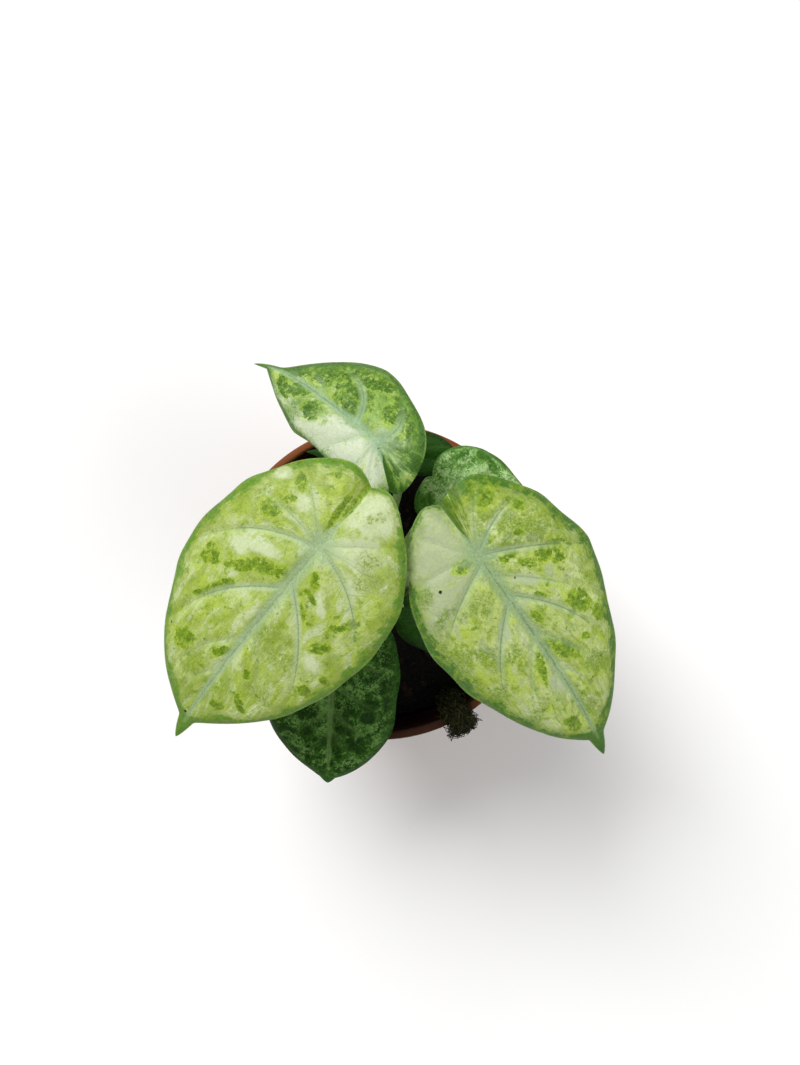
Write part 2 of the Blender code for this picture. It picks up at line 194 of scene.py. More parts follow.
@dataclass
class Leaf:
    """A blade in mm and degrees. at is where its stalk meets it, heading is the compass
    angle of the tip from +X, and pitch, droop and nape bend the midrib down at the stalk,
    towards the tip and towards the back lobes. sway swings the tip aside and kink the
    notch. tail and tail_width are the length and half width of the drawn-out tip."""

    name: str
    at: tuple
    heading: float
    front: float
    back: float
    left: Half
    right: Half
    socket: float
    pitch: float = 14
    droop: float = 22
    nape: float = 18
    sway: float = 0
    kink: float = 0
    arch: float = 28
    tail: float = 11
    tail_width: float = 1.5
    stalk_base: float = 2.7
    stalk_tip: float = 1.9
    stalk_rise: float = 0.45
    columns: int = 220
    rows: int = 70

    @property
    def size(self):
        """The blade's length in front, as a share of the largest ones'."""
        return self.front / LARGE_FRONT

    def half(self, side):
        """The left half for side 1 and the right half for side -1."""
        return self.left if side > 0 else self.right


LEAVES = (
    Leaf("left", (-17.9, 6.9, 173), -131, 88.9, 27.2,
         Half(36.3, 10.6, 0.15, 1.5, 2.8, 0.94), Half(38.1, 23.7, 0.19, 1.7, 1.74, 0.83),
         socket=200, sway=7.1, tail=15.5, tail_width=4),
    Leaf("right", (32.0, 4.4, 168), -53, 88.7, 22.7,
         Half(35.5, 20.4, 0.37, 1.5, 1.3, 0.78), Half(32, 21.6, 0.15, 1.63, 1.64, 0.65),
         socket=347, sway=-11.5, tail=14.8, tail_width=4),
    Leaf("back", (-0.4, 43.3, 156), 138.8, 61.1, 19.2,
         Half(15.4, 28.3, 0.58, 3.0, 1.3, 0.84), Half(22.5, 17, 0.15, 1.5, 1.8, 2.4),
         socket=146, sway=25.7, kink=-35, tail_width=1.2, columns=180, rows=54),
    Leaf("back_right", (26.9, 29.5, 134), -33, 53, 12,
         Half(19.4, 1.9, 0.31, 1.67, 2.2, 0.9), Half(15.7, 3.1, 0.15, 2.74, 2.2, 0.9),
         socket=47, stalk_base=2.5, stalk_tip=1.7, columns=140, rows=44),
    Leaf("front", (-16.1, -26.4, 124), -93.9, 54.6, 18,
         Half(24.9, 13.5, 0.3, 2.0, 2.93, 0.7), Half(26.1, 15.9, 0.3, 2.0, 2.42, 0.94),
         socket=251, tail=4.2, tail_width=3.6, stalk_base=2.5, stalk_tip=1.7, columns=160, rows=56),
    Leaf("inner_back", (9, 45, 109), 175, 38, 19,
         Half(7, 9, 0.3, 2.0, 2.0, 0.8), Half(12, 9, 0.3, 2.0, 2.0, 0.8),
         socket=97, pitch=5, droop=8, nape=10, arch=14, tail=5, stalk_base=2.3, stalk_tip=1.5,
         columns=100, rows=28),
    Leaf("inner_front", (15, -14, 109), -30, 34, 9,
         Half(9, 6, 0.3, 2.0, 2.0, 0.8), Half(11, 5, 0.3, 2.0, 2.0, 0.8),
         socket=299, pitch=8, droop=18, nape=8, arch=16, stalk_base=2.3, stalk_tip=1.5,
         columns=90, rows=26),
)


@dataclass
class Palette:
    """Display colours, 0 to 255, of one kind of leaf, how strongly it is marbled and laced
    with them, its specular level and how strong its grain is."""

    base: tuple
    light: tuple
    fresh: tuple
    cream: tuple
    olive: tuple
    green: tuple
    deep: tuple
    margin: tuple
    rib: tuple
    vein: tuple
    halo: tuple
    under: tuple
    marbling: float = 0.5
    lace: float = 0.0
    shine: float = 0.25
    grain: float = 0.45


LIME = Palette(
    base=(162, 181, 90), light=(184, 200, 126), fresh=(168, 190, 62), cream=(198, 210, 167),
    olive=(126, 148, 44), green=(114, 145, 18), deep=(78, 110, 10), margin=(84, 134, 24),
    rib=(152, 176, 132), vein=(112, 136, 96), halo=(184, 200, 154), under=(162, 182, 122),
    marbling=0.7)
GREY_LIME = Palette(
    base=(178, 195, 108), light=(192, 206, 140), fresh=(170, 192, 62), cream=(171, 183, 144),
    olive=(113, 140, 38), green=(114, 147, 22), deep=(74, 107, 12), margin=(52, 106, 20),
    rib=(138, 165, 120), vein=(98, 126, 86), halo=(174, 191, 144), under=(152, 172, 112),
    marbling=0.7)
HALF_GREEN = Palette(
    base=(142, 174, 86), light=(184, 204, 110), fresh=(160, 189, 72), cream=(205, 213, 190),
    olive=(94, 134, 50), green=(82, 122, 22), deep=(46, 86, 10), margin=(70, 110, 46),
    rib=(142, 172, 132), vein=(96, 128, 88), halo=(164, 190, 140), under=(150, 172, 116),
    marbling=0.7)
MINT = Palette(
    base=(98, 143, 60), light=(112, 156, 74), fresh=(108, 153, 58), cream=(178, 212, 146),
    olive=(100, 145, 58), green=(60, 108, 34), deep=(46, 92, 22), margin=(56, 102, 32),
    rib=(112, 148, 86), vein=(92, 130, 68), halo=(112, 150, 80), under=(108, 136, 82),
    lace=0.9, shine=0.15, grain=0.7)
# The front leaf's tones: its own dark mottled green, made darker still as painted shade from the leaf
# that overhangs it
DARK_AND_SHADED = Palette(
    base=(36, 74, 10), light=(46, 88, 18), fresh=(50, 92, 16), cream=(103, 142, 72),
    olive=(44, 82, 16), green=(18, 52, 4), deep=(12, 40, 2), margin=(40, 86, 16),
    rib=(100, 130, 70), vein=(62, 92, 38), halo=(58, 90, 34), under=(84, 108, 62),
    lace=0.9, shine=0.07, grain=0.8)
DEEP = Palette(
    base=(32, 76, 12), light=(42, 88, 18), fresh=(46, 94, 18), cream=(72, 110, 40),
    olive=(40, 72, 22), green=(24, 54, 14), deep=(18, 44, 10), margin=(34, 66, 20),
    rib=(76, 108, 52), vein=(60, 92, 40), halo=(50, 82, 32), under=(80, 106, 62),
    marbling=0.3, shine=0.12)


@dataclass
class Look:
    """How one blade is coloured. margins are the widths in mm of the green band on its left
    and right side. fold is the side that has green stripes beside the notch, 1 left, -1
    right or 0 neither, and the angle they cover. Patches of green, olive and cream are (x, y,
    half length, half width) in the blade's own mm from the stalk, and the direction of the
    length in degrees. Specks are x, y and radius."""

    palette: Palette
    slot: str
    margins: tuple = (1.5, 1.5)
    fold: tuple = (0, 10)
    green: tuple = ()
    olive: tuple = ()
    cream: tuple = ()
    specks: tuple = ()


LOOKS = {
    "left": Look(
        LIME, "blade_pale", margins=(3.4, 3.2),
        green=(
            (16, -8, 6, 2.2, 113), (22, -16, 4.5, 1.5, 126), (28, -25, 3, 1.2, 131),
            (27, -27, 3, 2.8, 71), (33, -17, 6.5, 1.8, 149), (39, -21, 2.5, 1, 131),
            (54, -16, 3.5, 3.2, 131), (9, 6, 2.6, 1.3, 41), (14, 8, 2.8, 0.8, 71),
            (20, 9, 3.2, 0.8, 51), (17, 21, 2.5, 1.4, 131), (13, 24, 2.2, 1.5, 151),
            (26, 21, 3.2, 1.5, 131), (66, 6, 2.1, 1.8, 86), (60, 12, 3.2, 1.2, 46),
            (42, 26, 2.6, 1.6, 61), (35, 29.5, 2.2, 1.2, 71), (48, -3, 3, 1.4, 151),
            (-12, -18, 2.9, 1.8, 61), (-21, -10, 1.2, 0.9, 41), (-5, -17, 2, 1.2, 131),
            (1, -20, 3.5, 2.5, 115), (49, 8, 1.6, 1.1, 41), (-18.5, -0.6, 6.5, 1.0, 2),
            (-13.5, -2.6, 7.5, 0.9, 6),
        ),
        olive=(
            (0, -21, 7, 5, 121), (-12, -19, 4, 3, 61), (-7, 15, 3.5, 3, 131), (-1, 19, 4, 3, 131),
            (34, 7, 6, 6, 131), (37, 14, 4, 3, 131), (41, -15, 2.4, 2, 131), (48, -17, 2.8, 2.4, 131),
            (58, -8, 5, 4.5, 131), (54, -16, 5, 4.5, 131), (16, -14, 3, 1.2, 111), (-18, 8, 3, 1.6, 151),
            (68, -6, 5, 3, 110), (62, 2, 4, 2, 60), (52, 15, 5, 3, 80),
        ),
        cream=(
            (-19, 7, 9, 7, 130), (-6, 11, 8, 4.5, 115), (-7, -13, 3.5, 2.5, 80),
            (13, -15, 7, 2.5, 110), (14, 12, 4.5, 1.5, 45), (-10, -25, 3.5, 2, 135),
            (2, 17, 3.5, 2.5, 120), (17, -20, 4.5, 2.5, 110), (32, 22, 3.5, 2.5, 75),
        ),
        specks=((76, -1.5, 0.4), (54, -23, 0.3)),
    ),
    "right": Look(
        GREY_LIME, "blade_pale", margins=(3.6, 4.2), fold=(1, 22),
        green=(
            (-3, 6, 2.4, 1.2, 157), (2, 15, 1.5, 1, 57), (6, 9, 2.2, 1.2, 77), (6, 6, 1.5, 0.9, 37),
            (13, 20, 5.2, 2.6, 87), (17, 21, 3, 1.4, 57), (12, 12, 3.3, 1.3, 47), (23, 9, 2.2, 1, 37),
            (33, 19, 4, 3, 37), (41, 22, 2.6, 2, 147), (35, 14, 1.5, 1.2, 57), (42, 5, 5.5, 2.6, 32),
            (44, 14, 1.7, 1, 57), (43, -4, 5, 1.2, 162), (69, -5, 3, 2.4, 27), (0, -6, 2.8, 1.8, 77),
            (-17, 17, 3, 2, 45), (-6, 20, 3, 1.5, 20), (28, 4, 2.2, 1.2, 17), (-15, 12, 5, 3, 40),
        ),
        olive=(
            (-13, 12, 11, 9, 55), (6, 22, 10, 6, 20), (-2, 13, 11, 8, 100), (14, -8, 4, 3, 12),
            (12, -16, 3, 2, 177), (28, 4, 3.5, 2.5, 17), (42, 5, 7, 4, 32), (65, 3, 5, 3, 25),
            (25, -24, 6, 4, 15), (44, -20, 5, 3, 105), (60, -15, 4, 2.5, 145), (31, -16, 6, 4, 20),
            (54, 12, 5, 3, 40), (1, -22, 4, 2.5, 150), (10, -21, 4, 2, 120), (35, -10, 4, 3, 25),
        ),
        cream=(
            (-7, -12, 16, 10, 155), (-9, -17, 8, 8, 165), (6, -19, 10, 5, 125), (-16, -5, 8, 4, 170),
            (16, 8, 5, 1.5, 50), (52, -3, 3.5, 2, 15), (25, -7, 3.5, 1.5, 165),
        ),
        specks=((2.3, -16.6, 0.5), (13, 5.5, 0.3)),
    ),
    "back": Look(
        HALF_GREEN, "blade_pale", margins=(1.6, 2.6), fold=(-1, 50),
        green=(
            (36, 3, 5, 2.5, 30), (26, 6, 3.5, 3, 30), (16.5, -6, 6.5, 5, 0), (31, -7, 5, 4, 30),
            (40, -3, 5, 2, 20), (42, 4, 5, 2, 150), (28, -12, 5, 4, 20), (24, -17, 6, 3, 20),
            (13, -17, 7, 3, 33), (8, -20, 6, 2, 10), (3, -18, 4, 2, 30), (1, -12, 4.5, 3.8, 90),
            (-7, -10, 4.5, 3, 143), (-5, -5, 2.5, 2.2, 0),
        ),
        olive=(
            (28, -10, 10, 8, 20), (33, 9, 4, 3, 140), (12, -10, 9, 9, 60), (42, 3, 8, 5, 30),
            (0, -12, 8, 6, 150), (16, -19, 13, 4, 15), (30, 5, 6, 4, 30), (-9, -7, 5, 4, 160),
        ),
        cream=(
            (12, 8, 10, 7, 30), (2, 9, 9, 8, 20), (16, 3, 4, 2, 30), (-10, 7, 8, 6, 150),
            (24, 10, 9, 4, 0), (-3, 4, 6, 3.5, 160), (40, 7, 8, 2.5, 170),
        ),
    ),
    "back_right": Look(
        MINT, "blade_mottled", margins=(1.1, 1.1),
        green=((2, 17, 2.5, 2, 25), (7, 15, 2.5, 1.5, 155), (-8, -10, 2, 1.5, 145), (22, 4, 5, 3, 20)),
        cream=((-3, 3, 12, 10, 20), (12, 8, 12, 8, 0)),
    ),
    "front": Look(
        DARK_AND_SHADED, "blade_mottled", margins=(1.8, 1.8),
        green=(
            (20, 14, 3.5, 2, 85), (25, 14, 3, 2, 85), (36, 10, 4, 3, 50), (40, 3, 3, 1.5, 10),
            (31, -8, 2.5, 1.5, 115), (40, -13, 2, 1.5, 50), (30, 5, 3.5, 1.5, 70), (12, -12, 4, 3, 60),
        ),
        cream=(
            (26, 11, 3.5, 1, 70), (28, 17, 1.5, 1.5, 70), (32, -5, 1.5, 1, 125), (37, -5, 2, 1, 160),
            (13, 11, 5.5, 1.5, 90), (33, 12, 2, 1, 35), (39, 6, 1.5, 1, 25), (27, -8, 1.5, 1, 140),
        ),
        specks=((37.5, -7.5, 0.6),),
    ),
    "inner_back": Look(DEEP, "blade_dark", green=((10, 5, 6, 3, 40),)),
    "inner_front": Look(DEEP, "blade_dark", green=((8, 3, 5, 2, 30),)),
}

# Side veins from the back to the tip: where each leaves the midrib and at what angle, in
# shares of the blade's front length and degrees, where on the margin it ends, as a share of
# that margin from notch to tip, and how strong it is
COMMON_VEINS = (
    (0.0, 142, 0.11, 0.3), (0.0, 108, 0.26, 0.5), (0.03, 70, 0.45, 0.8), (0.21, 53, 0.62, 0.7),
    (0.40, 48, 0.75, 0.4), (0.57, 44, 0.86, 0.2),
)
VEINS = {
    ("left", 1): (
        (0.0, 131, 0.17, 0.4), (0.0, 104, 0.31, 0.35), (0.0, 80, 0.53, 1.0), (0.16, 52, 0.71, 1.0),
        (0.37, 47, 0.82, 0.15), (0.54, 44, 0.89, 0.15), (0.70, 40, 0.94, 0.1),
    ),
    ("left", -1): (
        (0.0, 133, 0.17, 0.5), (0.0, 101, 0.31, 0.5), (0.01, 78, 0.54, 1.0), (0.20, 57, 0.72, 1.0),
        (0.45, 50, 0.84, 0.35), (0.61, 44, 0.90, 0.15), (0.75, 40, 0.95, 0.1),
    ),
    ("right", 1): (
        (0.0, 154, 0.11, 0.5), (0.0, 127, 0.24, 0.9), (0.0, 66, 0.47, 1.0), (0.09, 53, 0.61, 0.5),
        (0.18, 49, 0.73, 1.0), (0.36, 46, 0.83, 0.4), (0.52, 42, 0.90, 0.2), (0.68, 40, 0.95, 0.1),
    ),
    ("right", -1): (
        (0.0, 140, 0.11, 0.2), (0.0, 108, 0.26, 0.3), (0.03, 68, 0.48, 0.9), (0.20, 51, 0.71, 1.0),
        (0.37, 46, 0.82, 0.3), (0.54, 42, 0.90, 0.2), (0.70, 40, 0.95, 0.1),
    ),
    ("back", 1): (
        (0.0, 140, 0.11, 0.2), (0.0, 100, 0.28, 0.35), (0.08, 62, 0.5, 0.35), (0.30, 48, 0.68, 0.2),
        (0.55, 44, 0.83, 0.1),
    ),
    ("back", -1): (
        (0.0, 150, 0.09, 0.5), (0.0, 132, 0.2, 0.5), (0.0, 116, 0.47, 1.0), (0.16, 80, 0.66, 1.0),
        (0.42, 56, 0.80, 0.3), (0.62, 42, 0.88, 0.2),
    ),
}


# Leaf shape

def hump(away, width):
    """1 where away is 0, falling off softly over the width."""
    return np.exp(-((away / width) ** 2))


def bow(start, corner, end, t):
    """The place at t, 0 to 1, on a smooth bow that leans towards a corner."""
    return (1 - t) ** 2 * start + 2 * t * (1 - t) * corner + t * t * end


def run_length(points):
    """How far along a line of points each one is."""
    return np.concatenate([[0], np.cumsum(np.hypot(*np.diff(points, axis=0).T))])


def at_reach(points, reach, wanted):
    """The places on a line of points at the wanted lengths along it."""
    return np.stack([np.interp(wanted, reach, points[:, axis]) for axis in (0, 1)], -1)


def column_shares(count):
    """How far along the blade each column stands, closer together towards the tip."""
    return 1 - (1 - np.linspace(0, 1, count + 1)) ** TIP_CROWDING


def half_outline(leaf, half, count):
    """(x, y) points along one side's margin, a point for each column, from the notch between
    the back lobes to the tip. The stalk is at (0, 0) and x runs along the midrib."""
    front, back = leaf.front * MM, leaf.back * MM
    width, widest = half.width * MM, half.widest * MM
    lobe = half.lobe * width
    tail_length = leaf.tail * MM
    across = np.linspace(0, lobe, 10, endpoint=False)
    notch = np.stack([-back + NOTCH * (1 - across / lobe) ** 2, across], 1)
    turn = np.linspace(0.001, math.pi / 2, 90, endpoint=False)
    shoulder_x = widest - (widest + back) * np.cos(turn) ** (2 / half.back)
    shoulder_y = lobe + (width - lobe) * np.sin(turn) ** (2 / half.back)
    along = widest + (front - widest) * (1 - (1 - np.linspace(0, 1, 260)) ** 1.5)
    share = np.clip((along - widest) / (front - 0.6 * tail_length - widest), 0, 1)
    body = width * (1 - share**half.belly) ** half.taper
    tail = leaf.tail_width * MM * np.clip((front - along) / tail_length, 0, 1) ** 0.7
    side = np.stack([along, np.cbrt(body**3 + tail**3)], 1)
    points = np.concatenate([notch, np.stack([shoulder_x, shoulder_y], 1), side])
    reach = run_length(points)
    return at_reach(points, reach, column_shares(count) * reach[-1])


def lobes_turned(leaf, x, y):
    """Swings flat points about the stalk by the leaf's kink, the more the nearer they are to
    the notch."""
    angle, reach = np.arctan2(y, x), np.hypot(x, y)
    share = np.clip(np.abs(angle) / math.pi * 1.5 - 0.5, 0, 1)
    angle = angle + math.radians(leaf.kink) * share * share * (3 - 2 * share)
    return reach * np.cos(angle), reach * np.sin(angle)


def bend(leaf, x, y, lift):
    """Flat blade points, lifted along the sheet's normal, to places in the world."""
    x, y = lobes_turned(leaf, x, y)
    front, back = leaf.front * MM, leaf.back * MM
    along = np.linspace(-1.05 * back, front, 400)
    ahead, behind = np.clip(along / front, 0, 1), np.clip(-along / back, 0, 1.1)
    slope = np.radians(leaf.pitch + leaf.droop * ahead**1.3 - leaf.nape * behind)
    turn = np.radians(leaf.sway) * np.clip((ahead - 0.3) / 0.7, 0, 1) ** 2
    forward = np.stack([np.cos(slope) * np.cos(turn), np.cos(slope) * np.sin(turn), -np.sin(slope)], 1)
    step = (forward[1:] + forward[:-1]) / 2 * (along[1] - along[0])
    spine = np.concatenate([np.zeros((1, 3)), np.cumsum(step, axis=0)])
    spine -= np.array([np.interp(0, along, spine[:, axis]) for axis in range(3)])
    centre = np.stack([np.interp(x, along, spine[:, axis]) for axis in range(3)], -1)
    pitch, yaw = np.interp(x, along, slope), np.interp(x, along, turn)
    ahead = np.stack([np.cos(pitch) * np.cos(yaw), np.cos(pitch) * np.sin(yaw), -np.sin(pitch)], -1)
    aside = np.stack([-np.sin(yaw), np.cos(yaw), np.zeros_like(yaw)], -1)
    normal = np.cross(ahead, aside)
    width = np.where(y > 0, leaf.left.width, leaf.right.width) * MM
    curl = math.radians(leaf.arch) / width
    sideways = np.sin(curl * np.abs(y)) / curl * np.sign(y)
    fall = -(1 - np.cos(curl * np.abs(y))) / curl
    local = centre + aside * sideways[..., None] + normal * (fall + lift)[..., None]
    heading = math.radians(leaf.heading)
    cos, sin = math.cos(heading), math.sin(heading)
    rotation = np.array([[cos, sin, 0], [-sin, cos, 0], [0, 0, 1]])
    return local @ rotation + np.array(leaf.at) * MM


# Veins and patches on the flat blade

def vein_curves(leaf, side):
    """Points (x, y > 0) and strength of one side's veins, from back to front. The fold behind
    the stalk comes first and the last stretch of the midrib comes last, both with no strength."""
    front, back = leaf.front * MM, leaf.back * MM
    outline = half_outline(leaf, leaf.half(side), 200)
    reach = run_length(outline)
    curves = [(np.array([(0, 0), (-back - VEIN_PAST, 0)]), 0)]
    last = 0
    for root, angle, share, strength in VEINS.get((leaf.name, side), COMMON_VEINS):
        start = np.array([root * front, 0])
        end = at_reach(outline, reach, share * reach[-1])
        way = np.array([math.cos(math.radians(angle)), math.sin(math.radians(angle))])
        middle = start + way * 0.55 * np.hypot(*(end - start))
        points = bow(start, middle, end, np.linspace(0, 1, 18)[:, None])
        onward = (points[-1] - points[-2]) / np.hypot(*(points[-1] - points[-2]))
        curves.append((np.vstack([points, end + onward * VEIN_PAST]), strength))
        last = root * front
    curves.append((np.array([(last, 0), (front + VEIN_PAST, 0)]), 0))
    return curves


def signed_distance(curve, x, y):
    """Distance from each place to a curve, positive on the side of the blade's tip."""
    nearest = np.full(x.shape, np.inf)
    side = np.zeros(x.shape)
    for (ax, ay), (bx, by) in zip(curve[:-1], curve[1:]):
        dx, dy = bx - ax, by - ay
        share = np.clip(((x - ax) * dx + (y - ay) * dy) / (dx * dx + dy * dy), 0, 1)
        away = np.hypot(x - ax - share * dx, y - ay - share * dy)
        closer = away < nearest
        nearest = np.where(closer, away, nearest)
        side = np.where(closer, -np.sign(dx * (y - ay) - dy * (x - ax)), side)
    return nearest * np.where(side > 0, 1, -1)


def vein_fields(leaf, side, x, y):
    """phase counts the veins and passes through a whole number on each one; spacing is the
    distance between the two veins beside a place, along the distance out from the midrib,
    and strength that of the nearest vein."""
    curves = vein_curves(leaf, side)
    distance = np.stack([signed_distance(points, x, np.abs(y)) for points, _ in curves])
    count = len(curves)
    below = np.clip((distance > 0).sum(0) - 1, 0, count - 2)
    near = np.abs(np.take_along_axis(distance, below[None], 0)[0])
    far = np.abs(np.take_along_axis(distance, below[None] + 1, 0)[0])
    spacing = near + far
    share = near / np.maximum(spacing, 1e-6)
    roots = np.array([points[0][0] for points, _ in curves])
    root = roots[below] + (roots[below + 1] - roots[below]) * share
    strengths = np.array([strength for _, strength in curves])
    strength = np.where(share < 0.5, strengths[below], strengths[below + 1])
    return {
        "phase": below + share,
        "spacing": spacing,
        "along": np.hypot(x - root, y),
        "strength": strength,
        "vein": np.minimum(near, far),
    }


def patch_field(patches, x, y):
    """1 in the middle of the nearest patch, falling off softly around it."""
    field = np.zeros(x.shape)
    for at_x, at_y, length, width, angle in patches:
        cos, sin = math.cos(math.radians(angle)), math.sin(math.radians(angle))
        along = ((x / MM - at_x) * cos + (y / MM - at_y) * sin) / length
        across = (-(x / MM - at_x) * sin + (y / MM - at_y) * cos) / width
        field = np.maximum(field, np.exp(-0.7 * (along**2 + across**2)))
    return field


def side_fields(leaf, side):
    """Places and fields on one side of the flat blade, columns by rows. Row 0 runs along the
    midrib and the last row along the margin."""
    half, look = leaf.half(side), LOOKS[leaf.name]
    margin = half_outline(leaf, half, leaf.columns)
    arc = run_length(margin)
    midrib = margin[0, 0] + (margin[-1, 0] - margin[0, 0]) * column_shares(leaf.columns)
    out = np.linspace(0, 1, leaf.rows + 1)
    ripple = np.sin(arc / RIPPLES[0] + leaf.socket) + np.sin(arc / RIPPLES[1] + side)
    spread = 1 + EDGE_RIPPLE * ripple[:, None] / (half.width * MM) * out**3
    x = midrib[:, None] + (margin[:, :1] - midrib[:, None]) * out * spread
    y = side * margin[:, 1:] * out * spread
    away = np.abs(y)
    fields = vein_fields(leaf, side, x, y)
    fields.update(x=x, y=y, away=away, arc=np.repeat(arc[:, None], leaf.rows + 1, 1))
    fields["edge"] = np.abs(signed_distance(half_outline(leaf, half, 160), x, away))
    fields["out"] = fields["along"] / (fields["along"] + fields["edge"] + 0.01 * MM)
    fields["band"] = fields["edge"] / (look.margins[0 if side > 0 else 1] * MM)
    for kind in ("green", "olive", "cream"):
        fields[kind] = patch_field(getattr(look, kind), x, y)
    ahead = fields["ahead"] = np.clip(x / (leaf.front * MM), 0, 1)
    behind = fields["behind"] = np.clip(-x / (leaf.back * MM), 0, 1)
    fold_side, sector = look.fold
    turned = 180 - np.degrees(np.arctan2(away, x))
    fields["fold"] = turned / sector if side == fold_side else np.full(x.shape, NO_FOLD)
    rib_half = (0.4 + 1.9 * (1 - ahead) ** 1.1) * hump(behind, 0.25) * leaf.size * MM
    fields["rib"] = away / (rib_half + 0.02 * MM)
    fields["hub"] = np.hypot(x, y) / (HUB * leaf.size)
    fields["speck"] = np.zeros(x.shape)
    for at_x, at_y, radius in look.specks:
        near = 1 - np.clip(np.hypot(x / MM - at_x, y / MM - at_y) / (2 * radius), 0, 1)
        fields["speck"] = np.maximum(fields["speck"], near)
    return fields


def upper_relief(fields):
    """Height of the upper face over the smooth sheet."""
    away, edge, phase = fields["away"], fields["edge"], fields["phase"]
    rib = -MIDRIB_SINK * (1 - 0.45 * fields["ahead"]) * hump(away, MIDRIB_WIDTH)
    fold = -FOLD_SINK * fields["behind"] * hump(away, FOLD_WIDTH)
    clear = 1 - hump(away, MIDRIB_CLEAR)
    inside = np.clip(edge / EDGE_CLEAR, 0, 1)
    veins = -VEIN_SINK * fields["strength"] * hump(fields["vein"], VEIN_WIDTH) * inside**0.5
    share = phase % 1
    pillow = PILLOW * (4 * share * (1 - share)) ** 0.8 * np.clip(fields["spacing"] / PILLOW_SPACING, 0, 1)
    wave = EDGE_WAVE * np.sin(phase * math.pi * 0.9 + 1) * np.clip(away / WAVE_REACH, 0, 1) ** 2
    roll = -EDGE_ROLL * np.clip(1 - edge / EDGE_ROLL_WIDTH, 0, 1) ** 2
    return rib + fold + (veins + pillow * inside + wave) * clear + roll


def lower_relief(leaf, fields, upper):
    """Height of the lower face: the blade's thickness, with the veins standing out below."""
    inner = np.clip(fields["edge"] / THIN_MARGIN, 0, 1)
    thickness = BLADE_EDGE + (BLADE - BLADE_EDGE) * inner
    ahead, behind = fields["ahead"], np.clip(2 * fields["behind"], 0, 1)
    ridge = MIDRIB_RIDGE * leaf.size * (1 - 0.8 * ahead) * (1 - behind)
    ridge = ridge * hump(fields["away"], MIDRIB_RIDGE_WIDTH * leaf.size)
    veins = VEIN_RIDGE * fields["strength"] * hump(fields["vein"], VEIN_RIDGE_WIDTH)
    pad = STALK_PAD * leaf.size * hump(np.hypot(fields["x"], fields["y"]), STALK_PAD_RADIUS * leaf.size)
    return upper - thickness - (ridge + veins * (1 - ahead * 0.5) + pad) * inner


# Meshes

def add_piece(name, mesh, finishes, replaces=None):
    """Puts a mesh in the scene as a piece of the part."""
    piece = bpy.data.objects.new(name, mesh)
    for finish in finishes:
        mesh.materials.append(finish)
    bpy.context.scene.collection.objects.link(piece)
    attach(piece, "root")
    if replaces:
        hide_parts(replaces)


def mesh_from(name, points, faces):
    """A smooth mesh from an array of points and a list of arrays of faces."""
    mesh = bpy.data.meshes.new(name)
    corners = np.concatenate([face.ravel() for face in faces])
    totals = np.concatenate([np.full(len(face), face.shape[1]) for face in faces])
    mesh.vertices.add(len(points))
    mesh.vertices.foreach_set("co", np.asarray(points, np.float32).ravel())
    mesh.loops.add(len(corners))
    mesh.loops.foreach_set("vertex_index", corners.astype(np.int32))
    mesh.polygons.add(len(totals))
    mesh.polygons.foreach_set("loop_start", (np.cumsum(totals) - totals).astype(np.int32))
    mesh.polygons.foreach_set("loop_total", totals.astype(np.int32))
    mesh.update(calc_edges=True)
    mesh.validate()
    mesh.shade_smooth()
    return mesh


def grid_faces(ids, sources, flip):
    """Faces of one side's grid and, for each corner, its place in that side's fields. The
    first and the last column are single points."""
    faces, places = [], []
    for grid, kept in ((ids, faces), (sources, places)):
        near, far = grid[:-1], grid[1:]
        quads = np.stack([near[1:-1, :-1], near[1:-1, 1:], far[1:-1, 1:], far[1:-1, :-1]], -1)
        first = np.stack([near[0, :-1], far[0, 1:], far[0, :-1]], -1)
        last = np.stack([near[-1, :-1], near[-1, 1:], far[-1, 1:]], -1)
        for part in (quads.reshape(-1, 4), first, last):
            kept.append(part[:, ::-1] if flip else part)
    return faces, places


def add_field(mesh, name, domain, x, y, z):
    """Keeps three values for each point or face corner, for the material to read."""
    attribute = mesh.attributes.new(name, "FLOAT_VECTOR", domain)
    attribute.data.foreach_set("vector", np.stack([x, y, z], -1).astype(np.float32).ravel())


